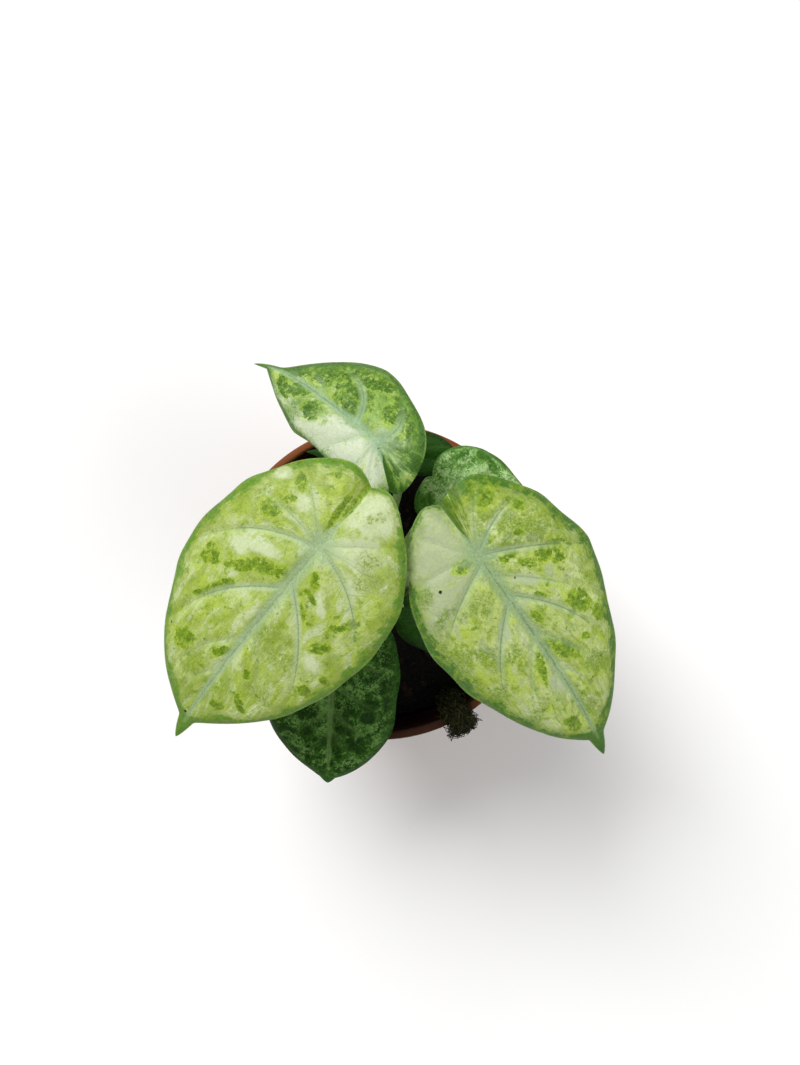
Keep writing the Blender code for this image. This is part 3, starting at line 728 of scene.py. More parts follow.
def blade_mesh(leaf):
    """A closed blade. Its upper face has material 0 and its lower face material 1, and the
    fields are kept on the face corners, so the two sides of the midrib stay apart."""
    columns, rows = leaf.columns, leaf.rows
    sides = {side: side_fields(leaf, side) for side in (1, -1)}
    size = (columns + 1) * (rows + 1)
    inner = (columns - 1) * rows
    points, faces, places, slots = [], [], [], []
    start = 0
    rims = {}
    for lower in (False, True):
        midrib = start + np.arange(columns + 1)
        start += columns + 1
        for side, fields in sides.items():
            lift = upper_relief(fields)
            if lower:
                lift = lower_relief(leaf, fields, lift)
            world = bend(leaf, fields["x"], fields["y"], lift)
            if side == 1:
                points.append(world[:, 0])
            points.append(world[1:-1, 1:].reshape(-1, 3))
            ids = np.empty((columns + 1, rows + 1), int)
            ids[1:-1, 1:] = start + np.arange(inner).reshape(columns - 1, rows)
            start += inner
            ids[:, 0] = midrib
            ids[0], ids[-1] = midrib[0], midrib[-1]
            sources = np.arange(size).reshape(ids.shape) + (0 if side == 1 else size)
            made, kept = grid_faces(ids, sources, (side == 1) != lower)
            faces += made
            places += kept
            slots += [np.full(len(face), int(lower)) for face in made]
            rims[lower, side] = (ids[:, -1], sources[:, -1])
    for side in (1, -1):
        (top, source), (bottom, _) = rims[False, side], rims[True, side]
        strip = np.stack([top[:-1], bottom[:-1], bottom[1:], top[1:]], -1)
        kept = np.stack([source[:-1], source[:-1], source[1:], source[1:]], -1)
        faces.append(strip[:, ::-side])
        places.append(kept[:, ::-side])
        slots.append(np.zeros(len(strip), int))
    mesh = mesh_from(f"leaf_{leaf.name}", np.concatenate(points), faces)
    mesh.polygons.foreach_set("material_index", np.concatenate(slots).astype(np.int32))
    add_corner_fields(mesh, sides, np.concatenate([place.ravel() for place in places]))
    return mesh


def add_corner_fields(mesh, sides, corner):
    """Keeps the fields of both sides on a blade's face corners, with lengths in mm."""

    def field(name, unit=1):
        return np.concatenate([sides[1][name].ravel(), sides[-1][name].ravel()])[corner] / unit

    x, y = field("x"), field("y")
    vectors = {
        "flat": (x / MM, y / MM, np.zeros(len(corner))),
        "veins": (field("phase"), field("spacing", MM), field("along", MM)),
        "patches": (field("green"), field("olive"), field("cream")),
        "lines": (field("rib"), field("band"), field("strength")),
        "marks": (field("fold"), field("hub"), field("speck")),
        "rims": (field("arc", MM), field("edge", MM), field("out")),
    }
    for name, values in vectors.items():
        add_field(mesh, name, "CORNER", *values)
    spread = np.stack([x, y], -1) / MAP_WIDTH + 0.5
    mesh.uv_layers.new(name="flat_uv").data.foreach_set("uv", spread.astype(np.float32).ravel())


def ring_faces(rings, sides):
    """Faces of a tube of rings of points, with its ends closed."""
    ring = np.arange(sides)
    low = (np.arange(rings - 1) * sides)[:, None]
    after = np.roll(ring, -1)
    quads = np.stack([low + ring, low + after, low + sides + after, low + sides + ring], -1)
    return [quads.reshape(-1, 4), ring[::-1][None], ((rings - 1) * sides + ring)[None]]


def lathe(name, profile, sides):
    """A mesh turned about Z from (radius, height) points listed up its outside and down its
    inside, with both ends closed."""
    angle = math.tau * np.arange(sides) / sides
    radius, height = np.array(profile).T
    points = np.stack([
        radius[:, None] * np.cos(angle),
        radius[:, None] * np.sin(angle),
        np.repeat(height[:, None], sides, 1),
    ], -1).reshape(-1, 3)
    return mesh_from(name, points, ring_faces(len(profile), sides))


def tube_rings(path, radii, sides, twist=0.0):
    """Rings of points around a path, with no sudden turns between them."""
    path = np.asarray(path)
    way = np.gradient(path, axis=0)
    way /= np.linalg.norm(way, axis=1)[:, None]
    aside = np.cross(way[0], (0.3, 0.9, 0.1))
    rings = []
    for place, forward, radius, turn in zip(path, way, radii, np.linspace(0, twist, len(path))):
        aside = aside - forward * (aside @ forward)
        aside /= np.linalg.norm(aside)
        other = np.cross(forward, aside)
        angle = math.tau * np.arange(sides) / sides + turn
        rings.append(place + radius * (np.cos(angle)[:, None] * aside + np.sin(angle)[:, None] * other))
    return np.concatenate(rings)


def joined(parts):
    """One array of points and one list of faces from several (points, faces) parts."""
    points, faces, start = [], [], 0
    for part_points, part_faces in parts:
        points.append(part_points)
        faces += [face + start for face in part_faces]
        start += len(part_points)
    return np.concatenate(points), faces


# Materials

def display(colour):
    """A colour given as it is displayed, 0 to 255, as linear light."""
    share = np.array(colour) / 255
    linear = np.where(share <= 0.04045, share / 12.92, ((share + 0.055) / 1.055) ** 2.4)
    return (*linear.tolist(), 1)


class Value:
    """What a material works out at each place: a number, a vector or a colour. Sums and
    products of numbers are written plainly, and each one makes its node."""

    def __init__(self, finish, socket):
        self.finish, self.socket = finish, socket

    def maths(self, operation, other=None):
        return self.finish.node("ShaderNodeMath", 0, {0: self, 1: other}, operation=operation)

    def __add__(self, other):
        return self.maths("ADD", other)

    def __sub__(self, other):
        return self.maths("SUBTRACT", other)

    def __mul__(self, other):
        return self.maths("MULTIPLY", other)

    def __truediv__(self, other):
        return self.maths("DIVIDE", other)

    def __abs__(self):
        return self.maths("ABSOLUTE")

    def larger(self, other):
        return self.maths("MAXIMUM", other)

    def swing(self, amount):
        """How far a noise is from its middle, times the amount."""
        return (self - 0.5) * amount

    def smooth(self, low, high, start=0.0, end=1.0):
        """start where the value is under low, end where it is over high, and a soft step
        between."""
        inputs = {"Value": self, "From Min": low, "From Max": high, "To Min": start, "To Max": end}
        return self.finish.node("ShaderNodeMapRange", "Result", inputs, interpolation_type="SMOOTHSTEP")


class Finish:
    """A material's node tree, with one short method for each kind of node."""

    def __init__(self, name):
        self.material = bpy.data.materials.new(name)
        self.material.use_nodes = True
        self.tree = self.material.node_tree
        self.shader = self.tree.nodes["Principled BSDF"]

    def put(self, value, socket):
        """Links a value to a socket, or sets the socket to a plain number or colour."""
        if isinstance(value, Value):
            self.tree.links.new(value.socket, socket)
        elif value is not None:
            socket.default_value = value

    def node(self, kind, output, inputs=None, **settings):
        """One output of a new node."""
        made = self.tree.nodes.new(kind)
        for name, value in settings.items():
            setattr(made, name, value)
        for key, value in (inputs or {}).items():
            self.put(value, made.inputs[key])
        return Value(self, made.outputs[output])

    def tone(self, colour):
        """The linear colour of a tone, which here is given as a display colour."""
        return display(colour)

    def mix(self, share, first, second, blend="MIX"):
        inputs = {"Factor": share, 6: first, 7: second}
        return self.node("ShaderNodeMix", 2, inputs, data_type="RGBA", blend_type=blend)

    def two_tone(self, share, first, second):
        """A tone that turns into another one as share goes from 0 to 1."""
        return self.mix(share, self.tone(first), self.tone(second))

    def layered(self, colour, *layers):
        """colour under layers of paint, each a mask, a tone and its strength."""
        for mask, tone, strength in layers:
            colour = self.mix(mask * strength, colour, self.tone(tone))
        return colour

    def field(self, name):
        return self.node("ShaderNodeAttribute", "Vector", attribute_name=name)

    def parts(self, vector):
        made = self.tree.nodes.new("ShaderNodeSeparateXYZ")
        self.put(vector, made.inputs[0])
        return [Value(self, output) for output in made.outputs]

    def vector(self, x, y=0.0):
        return self.node("ShaderNodeCombineXYZ", 0, {0: x, 1: y})

    def places(self):
        return self.node("ShaderNodeTexCoord", "Object")

    def stretched(self, vector, scale):
        return self.node("ShaderNodeVectorMath", 0, {0: vector, 1: scale}, operation="MULTIPLY")

    def noise(self, vector, size, detail=3.0, roughness=0.5, distortion=0.0, seed=0.0):
        inputs = {"Vector": vector, "W": seed, "Scale": 1 / size, "Detail": detail,
                  "Roughness": roughness, "Distortion": distortion}
        return self.node("ShaderNodeTexNoise", "Fac", inputs, noise_dimensions="4D")

    def cells(self, vector, size, feature="DISTANCE_TO_EDGE"):
        inputs = {"Vector": vector, "Scale": 1 / size}
        return self.node("ShaderNodeTexVoronoi", "Distance", inputs, feature=feature)

    def done(self, colour, roughness, specular=0.3, height=None, depth=0.0, strength=1.0):
        """The finished material, with bumps of that height pattern, depth and strength."""
        if height:
            bump = {"Height": height, "Distance": depth, "Strength": strength}
            self.put(self.node("ShaderNodeBump", "Normal", bump), self.shader.inputs["Normal"])
        self.put(colour, self.shader.inputs["Base Color"])
        self.put(roughness, self.shader.inputs["Roughness"])
        self.put(specular, self.shader.inputs["Specular IOR Level"])
        return self.material


class LeafFinish(Finish):
    """A blade's material, with the fields of its mesh at hand. Its lengths are in mm, and its
    tones are names from the palette."""

    def __init__(self, name, palette):
        super().__init__(name)
        self.palette = palette
        self.flat = self.field("flat")
        self.phase, self.spacing, self.along = self.parts(self.field("veins"))
        self.green, self.olive, self.cream = self.parts(self.field("patches"))
        self.rib, self.band, self.strength = self.parts(self.field("lines"))
        self.fold, self.hub, self.speck = self.parts(self.field("marks"))
        self.arc, self.edge, self.out = self.parts(self.field("rims"))
        self.cloud = self.noise(self.flat, 3.6, 6.0, 0.68, 0.6)
        self.grit = self.noise(self.flat, 1.1, 4.0, 0.7, seed=3.0)
        self.sand = self.noise(self.flat, 0.6, 2.0, 0.75, seed=4.0)
        self.streak = self.noise(self.vector(self.phase * 8.0, self.along * 0.42), 3.2, 3.0, 0.55, 0.6)
        self.ragged = self.cloud.swing(3.2) + self.grit.swing(1.8)
        self.grains = self.sand.smooth(0.38, 0.6, 0.25, 1.0)

    def tone(self, name):
        """The linear colour of a tone, which here is given as its name in the palette."""
        return display(getattr(self.palette, name))

    def patch(self, field, low, high, roughness=1.5):
        """A field as a mask with a grainy edge and gaps inside it."""
        return (field * (self.ragged * roughness + 1.0)).smooth(low, high)

    def lines(self, width):
        """1 on the middle of the side veins."""
        away = abs((self.phase + 0.5).maths("FRACT") - 0.5) * self.spacing
        return (away / width).smooth(0.3, 1.0, 1.0, 0.0)

    def net(self, width):
        """A fine net between the side veins."""
        cells = self.cells(self.vector(self.phase * 5.0, self.along * 0.55), 1.5)
        return cells.smooth(width, 0.0) * self.along.smooth(0.5, 3.0)

    def main_veins(self, width, reach=0.85):
        """The side veins, fading out over a share of their length."""
        return self.lines(width) * self.strength * self.out.smooth(reach, reach - 0.35)

    def blotches(self, size, seed, level, softness=0.05):
        """Random patches with a grainy edge, where a noise is over the level."""
        value = self.noise(self.flat, size, 5.0, 0.62, 0.5, seed) + self.ragged * 0.09
        return value.smooth(level - softness, level + softness)

    def tissue(self):
        """Blotches and streaks of the leaf's own tones, drawn out along the veins."""
        strength = self.palette.marbling
        return self.layered(
            self.two_tone(self.blotches(9.0, 1.0, 0.5), "base", "light"),
            (self.blotches(6.0, 2.0, 0.53), "fresh", strength),
            ((self.streak + self.ragged * 0.1).smooth(0.5, 0.6) * self.grains, "olive", strength),
            ((self.streak - self.ragged * 0.08).smooth(0.46, 0.38), "cream", strength),
            (self.blotches(4.0, 8.0, 0.58) * self.grains, "olive", strength),
        )

    def laced(self, colour):
        """Pale lace and dark gaps of a mottled leaf, the lace thicker in its cream patches."""
        strength = self.palette.lace
        fine = self.noise(self.flat, 1.2, 4.0, 0.7, 1.4, 5.0)
        wide = self.noise(self.flat, 5.0, 3.0, 0.5, 0.5, 12.0)
        lace = fine + wide.swing(0.8) + self.cream * 0.08
        return self.layered(
            colour,
            (self.blotches(3.2, 9.0, 0.54), "green", strength),
            (lace.smooth(0.5, 0.4), "deep", strength * 0.78),
            (lace.smooth(0.52, 0.62) * self.edge.smooth(0.3, 2.6, 0.45, 1.0), "cream", strength),
        )

    def mottled(self, colour):
        """Cream, olive and green patches that break up into grains at their edges."""
        if not self.palette.lace:
            colour = self.layered(colour, (self.patch(self.cream, 0.18, 0.72, 1.1), "cream", 0.88))
        colour = self.layered(
            colour,
            (self.patch(self.olive, 0.1, 0.9, 1.9) * self.grains, "olive", 1.0),
            (self.patch(self.green, 0.08, 0.4, 1.4), "fresh", 0.75),
        )
        depth = self.noise(self.flat, 1.8, 5.0, 0.72, 0.4, seed=10.0) + self.sand * 0.3
        green = self.two_tone(depth.smooth(0.64, 0.72), "green", "deep")
        green = self.layered(green, (depth.smooth(0.62, 0.52), "fresh", 0.8))
        sandy = self.sand.smooth(0.3, 0.52, 0.55, 1.0)
        colour = self.mix(self.patch(self.green, 0.25, 0.55, 1.3) * sandy, colour, green)
        stray = self.blotches(2.4, 6.0, 0.62, 0.03) * self.cream.smooth(0.5, 0.1)
        return self.mix(stray * 0.75, colour, green)

    def freckled(self, colour):
        """Scattered dark specks, the fewer the paler the tissue."""
        specks = self.sand.smooth(0.55, 0.63) * self.cloud.smooth(0.4, 0.54)
        return self.layered(colour, (specks * self.cream.smooth(0.8, 0.1), "green", 0.75))

    def grained(self, colour):
        """A fine light and dark grain, strong in the green and weak in the cream."""
        green = self.green.larger(self.band.smooth(1.2, 0.6))
        grain = self.mix(self.sand.smooth(0.32, 0.68), (0.66, 0.68, 0.56, 1), (1.28, 1.26, 1.34, 1))
        return self.mix(green * 0.5 - self.cream * 0.3 + self.palette.grain, colour, grain, "MULTIPLY")

    def bordered(self, colour):
        """A green band of changing width along the margin, streaked and broken at its inner
        edge, with a thin pale hem and a green tip."""
        wander = self.noise(self.vector(self.arc), 12.0, 2.0, seed=7.0)
        streaks = self.noise(self.vector(self.arc * 0.25, self.edge), 1.0, 4.0, 0.6)
        band = self.band / wander.smooth(0.36, 0.6, 0.55, 1.15)
        band = band + streaks.swing(2.0) + self.ragged * 0.6 + self.cream.smooth(0.3, 0.8, 0.0, 0.9)
        colour = self.layered(colour, (band.smooth(2.2, 0.9) * self.grains, "olive", 0.7))
        green = self.two_tone(self.cloud.smooth(0.47, 0.63), "margin", "green")
        dark = (self.grit + streaks.swing(0.8)).smooth(0.5, 0.62)
        green = self.layered(green, (dark, "deep", 1.0))
        sandy = self.sand.smooth(0.34, 0.52, 0.6, 0.97)
        return self.layered(
            self.mix(band.smooth(1.15, 0.5) * sandy, colour, green),
            (self.hub.smooth(13.8, 15.2), "margin", 0.75),
            (self.edge.smooth(0.5, 0.15), "light", 0.15),
        )

    def folded(self, colour):
        """Green stripes that fan out from the stalk beside the fold between the back lobes, with
        painted shade darkest along the crease of the fold itself."""
        near = self.fold.smooth(1.0, 0.75) * self.hub.smooth(0.4, 1.2)
        wave = self.noise(self.vector(self.fold * 5.0, self.hub * 0.4), 1.0, 4.0, 0.65)
        wave = wave + self.ragged * 0.06
        _, across, _ = self.parts(self.flat)
        crease_shade = abs(across) / (self.hub * 0.58 + 0.3) + self.ragged * 0.2 + wave.swing(2.0)
        return self.layered(
            colour,
            (near, "olive", 0.55),
            (near * wave.smooth(0.46, 0.4), "light", 0.5),
            (near * wave.smooth(0.49, 0.55), "deep", 0.85),
            # painted shade: the crease of the fold, darkest along its line
            (near * crease_shade.smooth(1.1, 0.5), "deep", 0.97),
        )

    def veined(self, colour):
        """Side veins with a pale halo and a thin dark line, the fibrous midrib and the star where
        they meet. The thin dark line is the vein's own tone with painted shade in its groove.
        """
        width = self.out.smooth(0.0, 1.0, 0.9, 0.3) + self.along.smooth(12.0, 0.0, 0.0, 1.4)
        core = self.main_veins(width, 0.7)
        broken = self.grit.smooth(0.36, 0.5, 0.45, 0.9)
        fibres = self.noise(self.stretched(self.flat, (0.35, 2.0, 1.0)), 1.0, 4.0, 0.7)
        midrib = (self.rib + fibres.swing(2.2)).smooth(1.9, 0.3) * self.hub.smooth(15.0, 12.5)
        star = (self.hub + self.streak.swing(2.8)).smooth(1.5, 0.1)
        feathered = midrib.larger(star * self.fold.smooth(0.1, 0.8, 0.25, 0.8))
        speckled = feathered.larger(core * 0.6)
        return self.layered(
            colour,
            (self.main_veins(2.0), "halo", 0.55),
            (self.net(0.08), "vein", 0.11),
            (core, "rib", 0.5),
            # a thin dark line down each side vein: partly the vein's own tone, partly painted shade in
            # its groove
            (self.main_veins(0.34, 0.95) * broken, "vein", 0.75),
            (feathered, "rib", 0.85),
            (self.sand.smooth(0.48, 0.38) * speckled, "vein", 0.35),
            (self.sand.smooth(0.54, 0.64) * speckled, "halo", 0.5),
        )


def upper_finish(name, palette):
    """The upper face of a blade, with pebbled tissue and a sunk net."""
    finish = LeafFinish(f"{name}_upper", palette)
    colour = finish.tissue()
    if palette.lace:
        colour = finish.laced(colour)
    colour = finish.freckled(finish.mottled(colour))
    colour = finish.veined(finish.grained(finish.folded(finish.bordered(colour))))
    ring = finish.speck.smooth(0.25, 0.5) * finish.speck.smooth(1.0, 0.75, 0.4, 1.0)
    colour = finish.mix(ring, colour, display(SPECK))
    roughness = finish.cloud.smooth(0.3, 0.7, 0.42, 0.56)
    sunk = finish.net(0.1) * finish.cream.smooth(0.1, 0.6, -0.3, -0.08)
    height = finish.cells(finish.flat, 0.8, "SMOOTH_F1") * 0.3 + sunk + finish.grit * 0.5
    return finish.done(colour, roughness, palette.shine, height, 0.25 * MM, 0.9)


def lower_finish(name, palette):
    """The lower face: paler and duller, with the patches showing through."""
    finish = LeafFinish(f"{name}_lower", palette)
    net = finish.net(0.12)
    dark = finish.green.larger(finish.olive * 0.8)
    colour = finish.layered(
        finish.two_tone(finish.cloud.smooth(0.42, 0.6), "under", "light"),
        (finish.patch(finish.cream, 0.2, 0.7, 0.9), "cream", 0.6),
        (finish.patch(dark, 0.2, 0.8), "olive", 0.6),
        (finish.band.smooth(1.1, 0.4), "margin", 0.5),
        (net, "rib", 0.35),
        (finish.main_veins(1.1), "rib", 0.85),
        (finish.rib.smooth(1.4, 0.7), "rib", 0.95),
    )
    roughness = finish.grit.smooth(0.3, 0.7, 0.5, 0.62)
    return finish.done(colour, roughness, palette.shine, net * 0.8 + finish.grit * 0.5, 0.25 * MM, 0.8)


def stalk_finish():
    """Pale green skin with fine lengthwise streaks, a few dark flecks and a browner foot."""
    finish = Finish("stalk_skin")
    length, around, _ = finish.parts(finish.field("skin"))
    streak = finish.noise(finish.vector(length * 2.5, around * 14.0), 1.0, 4.0, 0.6)
    cloud = finish.noise(finish.places(), 7 * MM, 3.0)
    fleck = finish.cells(finish.vector(length * 26.0, around * 9.0), 1.0, "F1")
    colour = finish.layered(
        finish.two_tone(streak.smooth(0.38, 0.64), (150, 178, 108), (184, 204, 142)),
        (cloud.smooth(0.45, 0.65), (120, 156, 82), 0.5),
        (length.smooth(0.22, 0.0), (150, 132, 96), 1.0),
        (fleck.smooth(0.24, 0.12), (86, 98, 52), 0.45),
    )
    height = streak + finish.noise(finish.places(), 0.5 * MM, 2.0) * 0.4
    return finish.done(colour, streak.smooth(0.3, 0.7, 0.34, 0.5), 0.3, height, 0.12 * MM, 0.6)


def stem_finish():
    """Green-brown skin with papery remains of old leaf bases, darker towards its foot."""
    finish = Finish("stem_skin")
    at = finish.places()
    _, _, z = finish.parts(at)
    rings = finish.noise(finish.stretched(at, (1.0, 1.0, 5.0)), 5 * MM, 4.0, 0.65)
    cloud = finish.noise(at, 4 * MM, 4.0)
    colour = finish.layered(
        finish.two_tone(rings.smooth(0.4, 0.62), (110, 104, 60), (142, 146, 90)),
        (cloud.smooth(0.5, 0.66), (92, 70, 42), 0.7),
        # darker below the top, towards the mix
        (z.smooth(STEM_TOP - 4 * MM, STEM_TOP - 14 * MM), (40, 30, 20), 1.0),
    )
    return finish.done(colour, cloud.smooth(0.3, 0.7, 0.5, 0.75), 0.3, rings, 0.6 * MM, 0.7)


def soil_finish():
    """Damp dark mix: nearly black crumbs and a little brown fibre, the near black partly painted shade of
    the pot's inside.
    """
    finish = Finish("potting_mix")
    at = finish.places()
    crumb = finish.noise(at, 1.6 * MM, 6.0, 0.7)
    lump = finish.cells(at, 2.4 * MM, "F1")
    # painted shade: the mix's tones are kept near black, beyond its own dark colour, for the shade inside
    # the pot
    colour = finish.layered(
        finish.two_tone(crumb.smooth(0.42, 0.64), (7, 6, 4), (24, 18, 12)),
        (lump.smooth(0.5, 0.2), (4, 3, 2), 1.0),
    )
    roughness = crumb.smooth(0.3, 0.7, 0.7, 0.95)
    return finish.done(colour, roughness, 0.2, crumb - lump * 0.9, 1.6 * MM, 0.9)


def chip_finish():
    """Bark chips, with a few pale ones picked out by the tone of each chip."""
    finish = Finish("bark_chips")
    tone, _, _ = finish.parts(finish.field("tone"))
    grain = finish.noise(finish.stretched(finish.places(), (1.0, 3.0, 3.0)), 2.2 * MM, 5.0, 0.65)
    share = grain.smooth(0.38, 0.64)
    bark = finish.two_tone(share, (12, 8, 6), (42, 29, 19))
    grit = finish.two_tone(share, (132, 128, 114), (182, 178, 162))
    colour = finish.mix(tone.smooth(0.9, 0.92), bark, grit)
    return finish.done(colour, grain.smooth(0.3, 0.7, 0.65, 0.92), 0.2, grain, 0.7 * MM, 0.8)


def moss_finish():
    """Dry strands, from nearly black olive to straw, each with its own tone, the dark tones partly
    painted shade.
    """
    finish = Finish("dry_moss")
    tone, length, _ = finish.parts(finish.field("tone"))
    fleck = finish.noise(finish.places(), 0.9 * MM, 3.0)
    # painted shade: the strands' tones are darkened for the weak light on the moss
    colour = finish.layered(
        finish.two_tone(tone.smooth(0.1, 0.85), (14, 16, 6), (52, 54, 24)),
        (tone.smooth(0.9, 1.0), (104, 100, 64), 1.0),
        (fleck.smooth(0.45, 0.65), (30, 30, 14), 0.6),
        (length.smooth(0.7, 1.0), (84, 80, 48), 0.3),
    )
    return finish.done(colour, fleck.smooth(0.3, 0.7, 0.8, 0.95), 0.15)


def pot_finish():
    """Terracotta-coloured moulded plastic: faint flow streaks, a fine matt grain, pale scuffs,
    a worn foot, dust and mud on the lip, the mud beside the moss darkened with painted shade,
    and a near-black inside that is the stain of wet mix with painted shade."""
    finish = Finish("terracotta_plastic")
    at = finish.places()
    x, y, z = finish.parts(at)
    flow = finish.noise(finish.stretched(at, (1.0, 1.0, 0.3)), 16 * MM, 4.0, 0.5, 0.3)
    patch = finish.noise(at, 14 * MM, 4.0, 0.6)
    scratch = finish.noise(finish.stretched(at, (6.0, 6.0, 0.8)), 3 * MM, 5.0, 0.75, 1.2)
    crumbs = finish.noise(at, 1.1 * MM, 4.0, 0.7).smooth(0.62, 0.7)
    worn = scratch.smooth(0.64, 0.72) * patch.smooth(0.4, 0.55)
    foot = z.smooth(5 * MM, 0.5 * MM) * patch.smooth(0.42, 0.6)
    slope = (RIM_RADIUS - COLLAR_STEP - BASE_RADIUS) / POT_HEIGHT
    wall = z * slope + (BASE_RADIUS - WALL / 2)
    inner = ((x * x + y * y).maths("POWER", 0.5) - wall).smooth(0.6 * MM, -0.4 * MM)
    # painted shade: the inside wall goes near black almost up to the lip, a stain of wet mix and painted
    # shade
    damp_stain_and_shade = (z - patch * (14 * MM)).smooth(POT_HEIGHT + 2 * MM, POT_HEIGHT - 2 * MM)
    near_lip = z.smooth(POT_HEIGHT - 10 * MM, POT_HEIGHT - 1 * MM)
    on_lip = z.smooth(POT_HEIGHT - 4 * MM, POT_HEIGHT)
    # painted shade: the lip is darkened beside the moss, over some mud, where the moss and the leaf above
    # shade it
    mud_and_shade_at = math.radians(MOSS_ANGLE - 12)
    off_x = x - RIM_RADIUS * math.cos(mud_and_shade_at)
    off_y = y - RIM_RADIUS * math.sin(mud_and_shade_at)
    away = (off_x * off_x + off_y * off_y).maths("POWER", 0.5) + patch * (10 * MM)
    colour = finish.layered(
        finish.two_tone(flow.smooth(0.35, 0.65), (126, 59, 25), (137, 67, 29)),
        (patch.smooth(0.5, 0.7), (124, 60, 32), 0.35),
        (worn, (188, 128, 98), 0.45),
        (foot, (96, 64, 44), 0.6),
        (inner * damp_stain_and_shade * z.smooth(3 * MM, 5 * MM), (9, 6, 4), 0.97),
        (crumbs * near_lip, (70, 44, 30), 0.55),
        (on_lip * patch.smooth(0.35, 0.6, 0.1, 0.5), (116, 76, 36), 1.0),
        # mud with painted shade on the lip beside the moss
        (away.smooth(44 * MM, 16 * MM) * near_lip, (36, 17, 8), 0.85),
    )
    roughness = (patch + worn * 0.3).smooth(0.3, 0.8, 0.42, 0.62)
    height = finish.noise(at, 0.35 * MM, 2.0) - worn * 0.8
    return finish.done(colour, roughness, 0.13, height, 0.06 * MM, 0.8)


def floor_finish():
    """Plain pale paper."""
    finish = Finish("pale_floor")
    cloud = finish.noise(finish.places(), 0.25, 2.0)
    return finish.done(finish.two_tone(cloud, (243, 243, 242), (247, 247, 246)), 0.75)


# Pieces

def make_blades():
    """One fine blade in place of each solid one."""
    for leaf in LEAVES:
        look = LOOKS[leaf.name]
        finishes = (upper_finish(leaf.name, look.palette), lower_finish(leaf.name, look.palette))
        add_piece(f"leaf_{leaf.name}", blade_mesh(leaf), finishes, f"blade_{leaf.name}")


def blade_up(leaf):
    """The blade's upward direction where the stalk meets it."""
    pitch, heading = math.radians(leaf.pitch), math.radians(leaf.heading)
    lean = math.sin(pitch)
    return np.array([lean * math.cos(heading), lean * math.sin(heading), math.cos(pitch)])


def stalk_path(leaf, count):
    """Points from the socket in the stem to the underside of the blade, and the share of
    the way at each."""
    angle = math.radians(leaf.socket)
    x, y = SOCKET_CIRCLE * math.cos(angle), SOCKET_CIRCLE * math.sin(angle)
    bottom = np.array([x, y, STEM_TOP - SOCKET_DEPTH + GAP])
    mouth = np.array([x, y, STEM_TOP + SOCKET_RISE])
    up = blade_up(leaf)
    end = np.array(leaf.at) * MM - up * (MIDRIB_SINK + 0.5 * BLADE)
    reach = np.linalg.norm(end - mouth) * leaf.stalk_rise
    t = np.linspace(0, 1, count)[:, None]
    curve = ((1 - t) ** 3 * mouth + 3 * t * (1 - t) ** 2 * (mouth + np.array([0, 0, reach]))
             + 3 * t * t * (1 - t) * (end - up * reach) + t**3 * end)
    below = bottom + (mouth - bottom) * np.linspace(0, 1, 6, endpoint=False)[:, None]
    share = np.concatenate([np.zeros(len(below)), t[:, 0]])
    return np.concatenate([below, curve]), share


def make_stalks(finish):
    """Round stalks with a shallow groove in front, thicker at the foot and flared under the
    blade."""
    angle = math.tau * np.arange(STALK_SIDES) / STALK_SIDES
    groove = 1 - GROOVE * hump(np.angle(np.exp(1j * (angle - 1.2))), 0.5)
    for leaf in LEAVES:
        path, share = stalk_path(leaf, 64)
        radii = (leaf.stalk_base + (leaf.stalk_tip - leaf.stalk_base) * share**0.6) * MM
        radii = radii + FLARE * np.clip((share - 0.93) / 0.07, 0, 1) ** 2
        radii = radii * (1 + 0.04 * np.sin(share * 23 + leaf.socket))
        centres = np.repeat(path, STALK_SIDES, 0)
        round_skin = tube_rings(path, np.ones(len(path)), STALK_SIDES) - centres
        points = centres + round_skin * np.outer(radii, groove).reshape(-1, 1)
        mesh = mesh_from(f"petiole_{leaf.name}", points, ring_faces(len(path), STALK_SIDES))
        around = np.tile(np.cos(angle), len(path))
        add_field(mesh, "skin", "POINT", np.repeat(share, STALK_SIDES), around, around * 0)
        add_piece(f"petiole_{leaf.name}", mesh, [finish], f"stalk_{leaf.name}")


def stem_radius(height):
    """The stem widens upwards, with a soft ring at each leaf scar."""
    share = (height - STEM_BOTTOM) / (STEM_TOP - STEM_BOTTOM)
    body = STEM_RADIUS * (STEM_FOOT + (1 - STEM_FOOT) * math.sin(share * math.pi / 2))
    return body + SCAR_RISE * math.cos(share * SCARS * math.tau)


def make_stem(finish):
    """The short stem, with soft leaf scars and a worn, uneven skin."""
    profile = [(CAP, STEM_BOTTOM)]
    for height in np.linspace(STEM_BOTTOM, STEM_TOP - STEM_BEVEL, 60):
        profile.append((stem_radius(height), height))
    profile += [(STEM_RADIUS - 0.6 * MM, STEM_TOP - 0.5 * MM), (STEM_RADIUS - 1.8 * MM, STEM_TOP)]
    profile += [(radius, STEM_TOP + CROWN) for radius in (7 * MM, 4 * MM, CAP)]
    mesh = lathe("crown", profile, STEM_SIDES)
    for vertex in mesh.vertices:
        vertex.co.xy *= 1 + STEM_WEAR * noise.fractal(vertex.co * 260, 0.8, 2.0, 4)
    add_piece("crown", mesh, [finish], "stem")


def wall_radius(height):
    """The outside of the pot's wall below the collar."""
    share = (height - FOOT) / (POT_HEIGHT - FOOT)
    return BASE_RADIUS + (RIM_RADIUS - COLLAR_STEP - BASE_RADIUS) * share


def inner_radius(height):
    """The inside of the pot's wall."""
    return wall_radius(height) - WALL


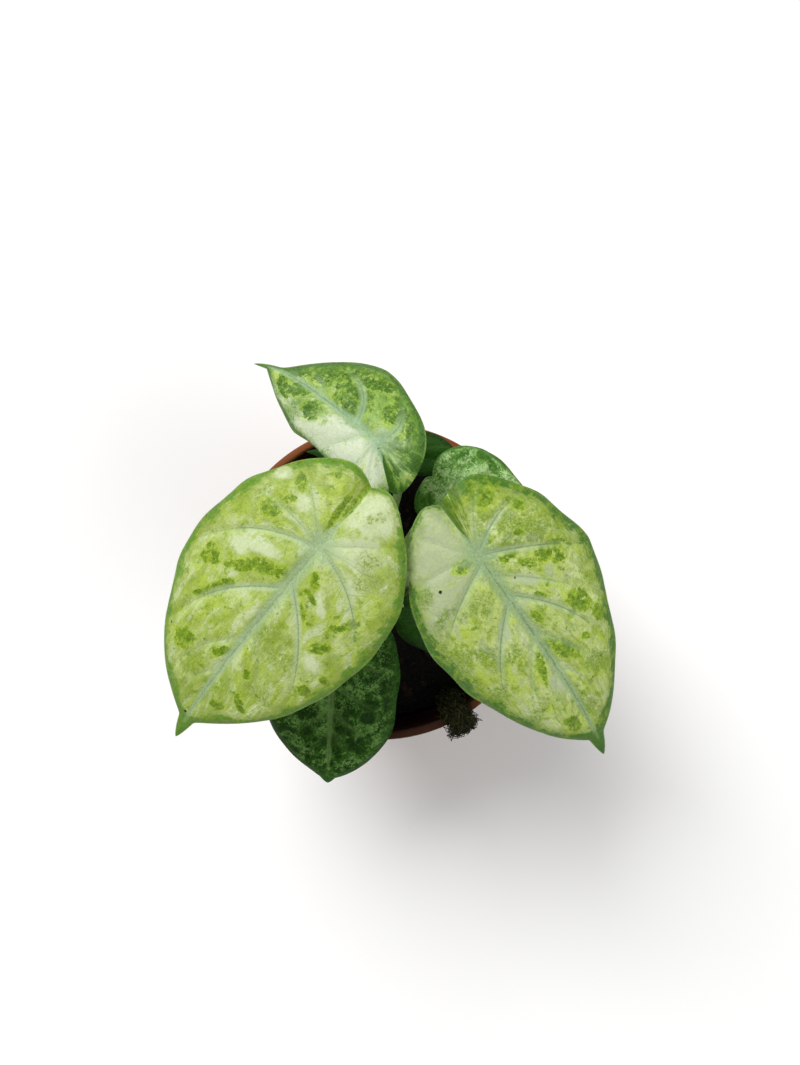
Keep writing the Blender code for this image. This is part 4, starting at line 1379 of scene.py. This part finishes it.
def rounded(corners, radius, steps=5):
    """A profile with each inner corner rounded to about the radius."""
    points = [corners[0]]
    for before, corner, after in zip(corners, corners[1:], corners[2:]):
        corner = np.array(corner)
        to_before, to_after = np.array(before) - corner, np.array(after) - corner
        cut = min(radius, np.hypot(*to_before) * 0.45, np.hypot(*to_after) * 0.45)
        start = corner + to_before / np.hypot(*to_before) * cut
        end = corner + to_after / np.hypot(*to_after) * cut
        points += [tuple(bow(start, corner, end, t)) for t in np.linspace(0, 1, steps)]
    points.append(corners[-1])
    return points


def make_pot(finish):
    """The solid's profile with rounded corners, two fine moulded lines under the collar, and
    the drain holes cut through."""
    collar = POT_HEIGHT - COLLAR_HEIGHT
    floor = FOOT + FLOOR
    outer = [(wall_radius(FOOT), FOOT)]
    for line in (collar - MOULDED_LINES[0], collar - MOULDED_LINES[1]):
        for height, depth in ((line - LINE_HALF, 0), (line, LINE_DEPTH), (line + LINE_HALF, 0)):
            outer.append((wall_radius(height) - depth, height))
    corners = [
        (POT_CAP, 0),
        (HUB_RADIUS, 0),
        (HUB_RADIUS + FOOT, FOOT),
        (BASE_RADIUS - FOOT_WIDTH - FOOT, FOOT),
        (BASE_RADIUS - FOOT_WIDTH, 0),
        (BASE_RADIUS - FOOT, 0),
        *outer,
        (wall_radius(collar - COLLAR_STEP), collar - COLLAR_STEP),
        (RIM_RADIUS - COLLAR_DRAFT, collar),
        (RIM_RADIUS - COLLAR_DRAFT / 2, POT_HEIGHT - LIP_DEPTH),
        (RIM_RADIUS, POT_HEIGHT - LIP_BAND),
        (RIM_RADIUS, POT_HEIGHT),
        (RIM_RADIUS - LIP, POT_HEIGHT),
        (RIM_RADIUS - LIP, POT_HEIGHT - LIP_DEPTH),
        (inner_radius(collar), collar),
        (inner_radius(floor + FLOOR_BEVEL), floor + FLOOR_BEVEL),
        (inner_radius(floor) - FLOOR_BEVEL, floor),
        (POT_CAP, floor),
    ]
    mesh = lathe("nursery_pot", rounded(corners, CORNER_ROUND), POT_SIDES)
    mesh = with_drain_holes(mesh, floor)
    mesh.set_sharp_from_angle(angle=math.radians(50))
    add_piece("nursery_pot", mesh, [finish], "pot")


def with_drain_holes(mesh, floor):
    """The pot's mesh with its drain holes cut out."""
    parts = []
    for hole in range(DRAIN_HOLES):
        angle = math.tau * (hole + 0.5) / DRAIN_HOLES
        centre = np.array([DRAIN_CIRCLE * math.cos(angle), DRAIN_CIRCLE * math.sin(angle), 0])
        path = [centre + (0, 0, -FOOT), centre + (0, 0, floor + 3 * MM)]
        parts.append((tube_rings(path, (DRAIN_RADIUS, DRAIN_RADIUS), 32), ring_faces(2, 32)))
    cutter = bpy.data.objects.new("drain_cutter", mesh_from("drain_cutter", *joined(parts)))
    body = bpy.data.objects.new("pot_body", mesh)
    for made in (cutter, body):
        bpy.context.scene.collection.objects.link(made)
    modifier = body.modifiers.new("drain", "BOOLEAN")
    modifier.operation = "DIFFERENCE"
    modifier.object = cutter
    graph = bpy.context.evaluated_depsgraph_get()
    result = bpy.data.meshes.new_from_object(body.evaluated_get(graph))
    for made in (cutter, body):
        bpy.data.objects.remove(made, do_unlink=True)
    result.name = "nursery_pot"
    result.shade_smooth()
    return result


def make_soil(finish):
    """Lumpy mix that fills the pot."""
    floor = FOOT + FLOOR
    edge = inner_radius(SOIL_TOP) - GAP
    profile = [
        (CAP, floor + GAP),
        (inner_radius(floor) - FLOOR_BEVEL - GAP, floor + GAP),
        (inner_radius(floor + FLOOR_BEVEL) - GAP, floor + FLOOR_BEVEL),
        (edge, SOIL_TOP),
    ]
    profile += [(edge * share, SOIL_TOP + SOIL_LUMP) for share in np.linspace(0.985, 0.01, SOIL_RINGS)]
    mesh = lathe("mix", profile, SOIL_SIDES)
    for vertex in mesh.vertices:
        if vertex.co.z > SOIL_TOP + SOIL_LUMP / 2:
            lumps = noise.noise(vertex.co * 130) + 0.8 * noise.noise(vertex.co * 480)
            vertex.co.z += SOIL_LUMP * lumps
    add_piece("mix", mesh, [finish], "soil")


def make_chips(finish):
    """Loose bark chips and a few pale grains of grit, half sunk in the top of the mix."""
    draws = random.Random(11)
    parts, tones = [], []
    for _ in range(CHIPS):
        angle = draws.uniform(0, math.tau)
        radius = (inner_radius(SOIL_TOP) - CHIP_CLEARANCE) * math.sqrt(draws.uniform(0.06, 0.98))
        height = SOIL_TOP + SOIL_LUMP + draws.uniform(-0.6, 1.6) * MM
        pale = draws.random() < PALE_CHIPS
        size = draws.uniform(1.0, 1.8) if pale else draws.uniform(1.4, 4.2)
        flat = draws.uniform(0.6, 0.9) if pale else draws.uniform(0.22, 0.45)
        points, faces = pebble(draws, size * MM, draws.uniform(0.5, 0.9), flat)
        turn = Matrix.Rotation(draws.uniform(0, math.tau), 3, "Z")
        turn = turn @ Matrix.Rotation(draws.gauss(0, 0.35), 3, "X")
        place = np.array([radius * math.cos(angle), radius * math.sin(angle), height])
        parts.append((points @ np.array(turn).T + place, faces))
        tones.append(np.full(len(points), 1.0 if pale else draws.uniform(0, 0.85)))
    mesh = mesh_from("bark", *joined(parts))
    tone = np.concatenate(tones)
    add_field(mesh, "tone", "POINT", tone, tone, tone)
    mesh.set_sharp_from_angle(angle=math.radians(35))
    add_piece("bark", mesh, [finish])


def pebble(draws, size, width, thickness):
    """An uneven chip from rings of jittered points. size is its length, and width and
    thickness are shares of it."""
    sides, rings = 7, 4
    points = []
    for ring in range(rings):
        level = (ring + 0.5) / rings * 2 - 1
        swell = math.sqrt(1 - 0.75 * level * level)
        for side in range(sides):
            angle = math.tau * side / sides + draws.uniform(-0.25, 0.25)
            reach = swell * draws.uniform(0.78, 1.08) * size / 2
            across = reach * math.sin(angle) * width
            points.append((reach * math.cos(angle), across, level * thickness * size / 2))
    return np.array(points), ring_faces(rings, sides)


def strand_points(draws):
    """Places along one strand, wound loosely around a stretch of the moss's core."""
    turn = draws.gauss(0.22, 0.24)
    start = draws.uniform(0, 0.8)
    span = draws.uniform(0.12, 0.36)
    wander = [draws.uniform(0, math.tau) for _ in range(3)]
    reach = draws.uniform(0.5, 1.15)
    around = draws.uniform(0, math.tau)
    step = np.arange(STRAND_STEPS)
    last = len(MOSS_CORE) - 1
    at = np.minimum((start + span * step / (STRAND_STEPS - 1)) * last, last - 0.001)
    radius, height, thick = (np.interp(at, np.arange(last + 1), line) for line in zip(*MOSS_CORE))
    swing = around + 1.3 * np.sin(step * 0.7 + wander[0])
    out = thick * reach * (1 + 0.3 * np.sin(step * 1.3 + wander[1]))
    angle = np.radians(MOSS_ANGLE + MOSS_SPREAD * turn + 1.6 * np.sin(step * 0.9 + wander[2]))
    places = zip(radius + out * np.cos(swing), height + out * np.sin(swing))
    radius, height = np.array([keep_off_rim(*place) for place in places]).T
    return np.stack([radius * np.cos(angle), radius * np.sin(angle), height], -1)


def make_moss(finish):
    """A mat of fine strands over the lip, some of them trailing off it."""
    draws = random.Random(5)
    length = np.linspace(0, 1, STRAND_STEPS)
    faces = ring_faces(STRAND_STEPS, STRAND_SIDES)
    parts, tones = [], []
    for _ in range(STRANDS):
        points = strand_points(draws)
        taper = draws.uniform(0.09, 0.2) * MM * (1 - 0.6 * length**2)
        parts.append((tube_rings(points, taper, STRAND_SIDES, draws.uniform(-4, 4)), faces))
        tone = np.full(STRAND_STEPS, draws.random())
        tones.append(np.stack([tone, length, length]).repeat(STRAND_SIDES, 1))
    mesh = mesh_from("moss_strands", *joined(parts))
    add_field(mesh, "tone", "POINT", *np.concatenate(tones, 1))
    add_piece("moss_strands", mesh, [finish], "moss_tuft")


def keep_off_rim(radius, height):
    """Moves a place out of the pot's wall, up over the lip or out to either side."""
    inside, outside = RIM_RADIUS - LIP - RIM_CLEARANCE, RIM_RADIUS + RIM_CLEARANCE
    top = POT_HEIGHT + RIM_CLEARANCE
    if height >= top or radius >= outside or radius <= inside:
        return radius, height
    _, place = min(
        (top - height, (radius, top)),
        (outside - radius, (outside, height)),
        (radius - inside, (inside, height)),
    )
    return place


# Stage

def make_floor(finish):
    """A plain square floor."""
    points = np.array([(-1, -1, 0), (1, -1, 0), (1, 1, 0), (-1, 1, 0)]) * FLOOR_REACH
    floor = bpy.data.objects.new("floor", mesh_from("floor", points, [np.array([[0, 1, 2, 3]])]))
    floor.data.materials.append(finish)
    bpy.context.scene.collection.objects.link(floor)


def add_softbox(name, place, size, power):
    """A round soft light that faces the plant."""
    lamp = bpy.data.lights.new(name, "AREA")
    lamp.shape = "DISK"
    lamp.size = size
    lamp.energy = power
    made = bpy.data.objects.new(name, lamp)
    made.location = place
    made.rotation_euler = (LIT_PLACE - Vector(place)).to_track_quat("-Z", "Y").to_euler()
    bpy.context.scene.collection.objects.link(made)


def make_light():
    """Soft studio light: the softboxes and an even white surround."""
    for softbox in SOFTBOXES:
        add_softbox(*softbox)
    world = bpy.data.worlds.new("studio")
    world.use_nodes = True
    background = world.node_tree.nodes["Background"]
    background.inputs["Color"].default_value = (1, 1, 1, 1)
    background.inputs["Strength"].default_value = SURROUND
    bpy.context.scene.world = world
    bpy.context.scene.view_settings.view_transform = "Standard"


def make_camera():
    """The photograph's view: almost straight down, with the pot's lip where it stands there."""
    back = Vector((0, -math.cos(ELEVATION), math.sin(ELEVATION)))
    right = Vector((1, 0, 0))
    up = back.cross(right)
    aside = (RIM_PIXEL[0] - FRAME_WIDTH / 2) / FOCAL_PIXELS * DISTANCE
    above = -(RIM_PIXEL[1] - FRAME_HEIGHT / 2) / FOCAL_PIXELS * DISTANCE
    place = Vector((0, 0, POT_HEIGHT)) - right * aside - up * above + back * DISTANCE
    camera = bpy.data.cameras.new("camera")
    camera.sensor_width = SENSOR
    camera.lens = FOCAL_PIXELS * SENSOR / FRAME_HEIGHT
    camera.clip_start = 0.01
    made = bpy.data.objects.new("camera", camera)
    made.matrix_world = Matrix.Translation(place) @ Matrix((right, up, back)).transposed().to_4x4()
    bpy.context.scene.collection.objects.link(made)
    bpy.context.scene.camera = made


def main():
    """Makes the stage and every piece."""
    make_camera()
    make_light()
    make_floor(floor_finish())
    make_pot(pot_finish())
    make_soil(soil_finish())
    make_chips(chip_finish())
    make_stem(stem_finish())
    make_stalks(stalk_finish())
    make_blades()
    make_moss(moss_finish())


main()
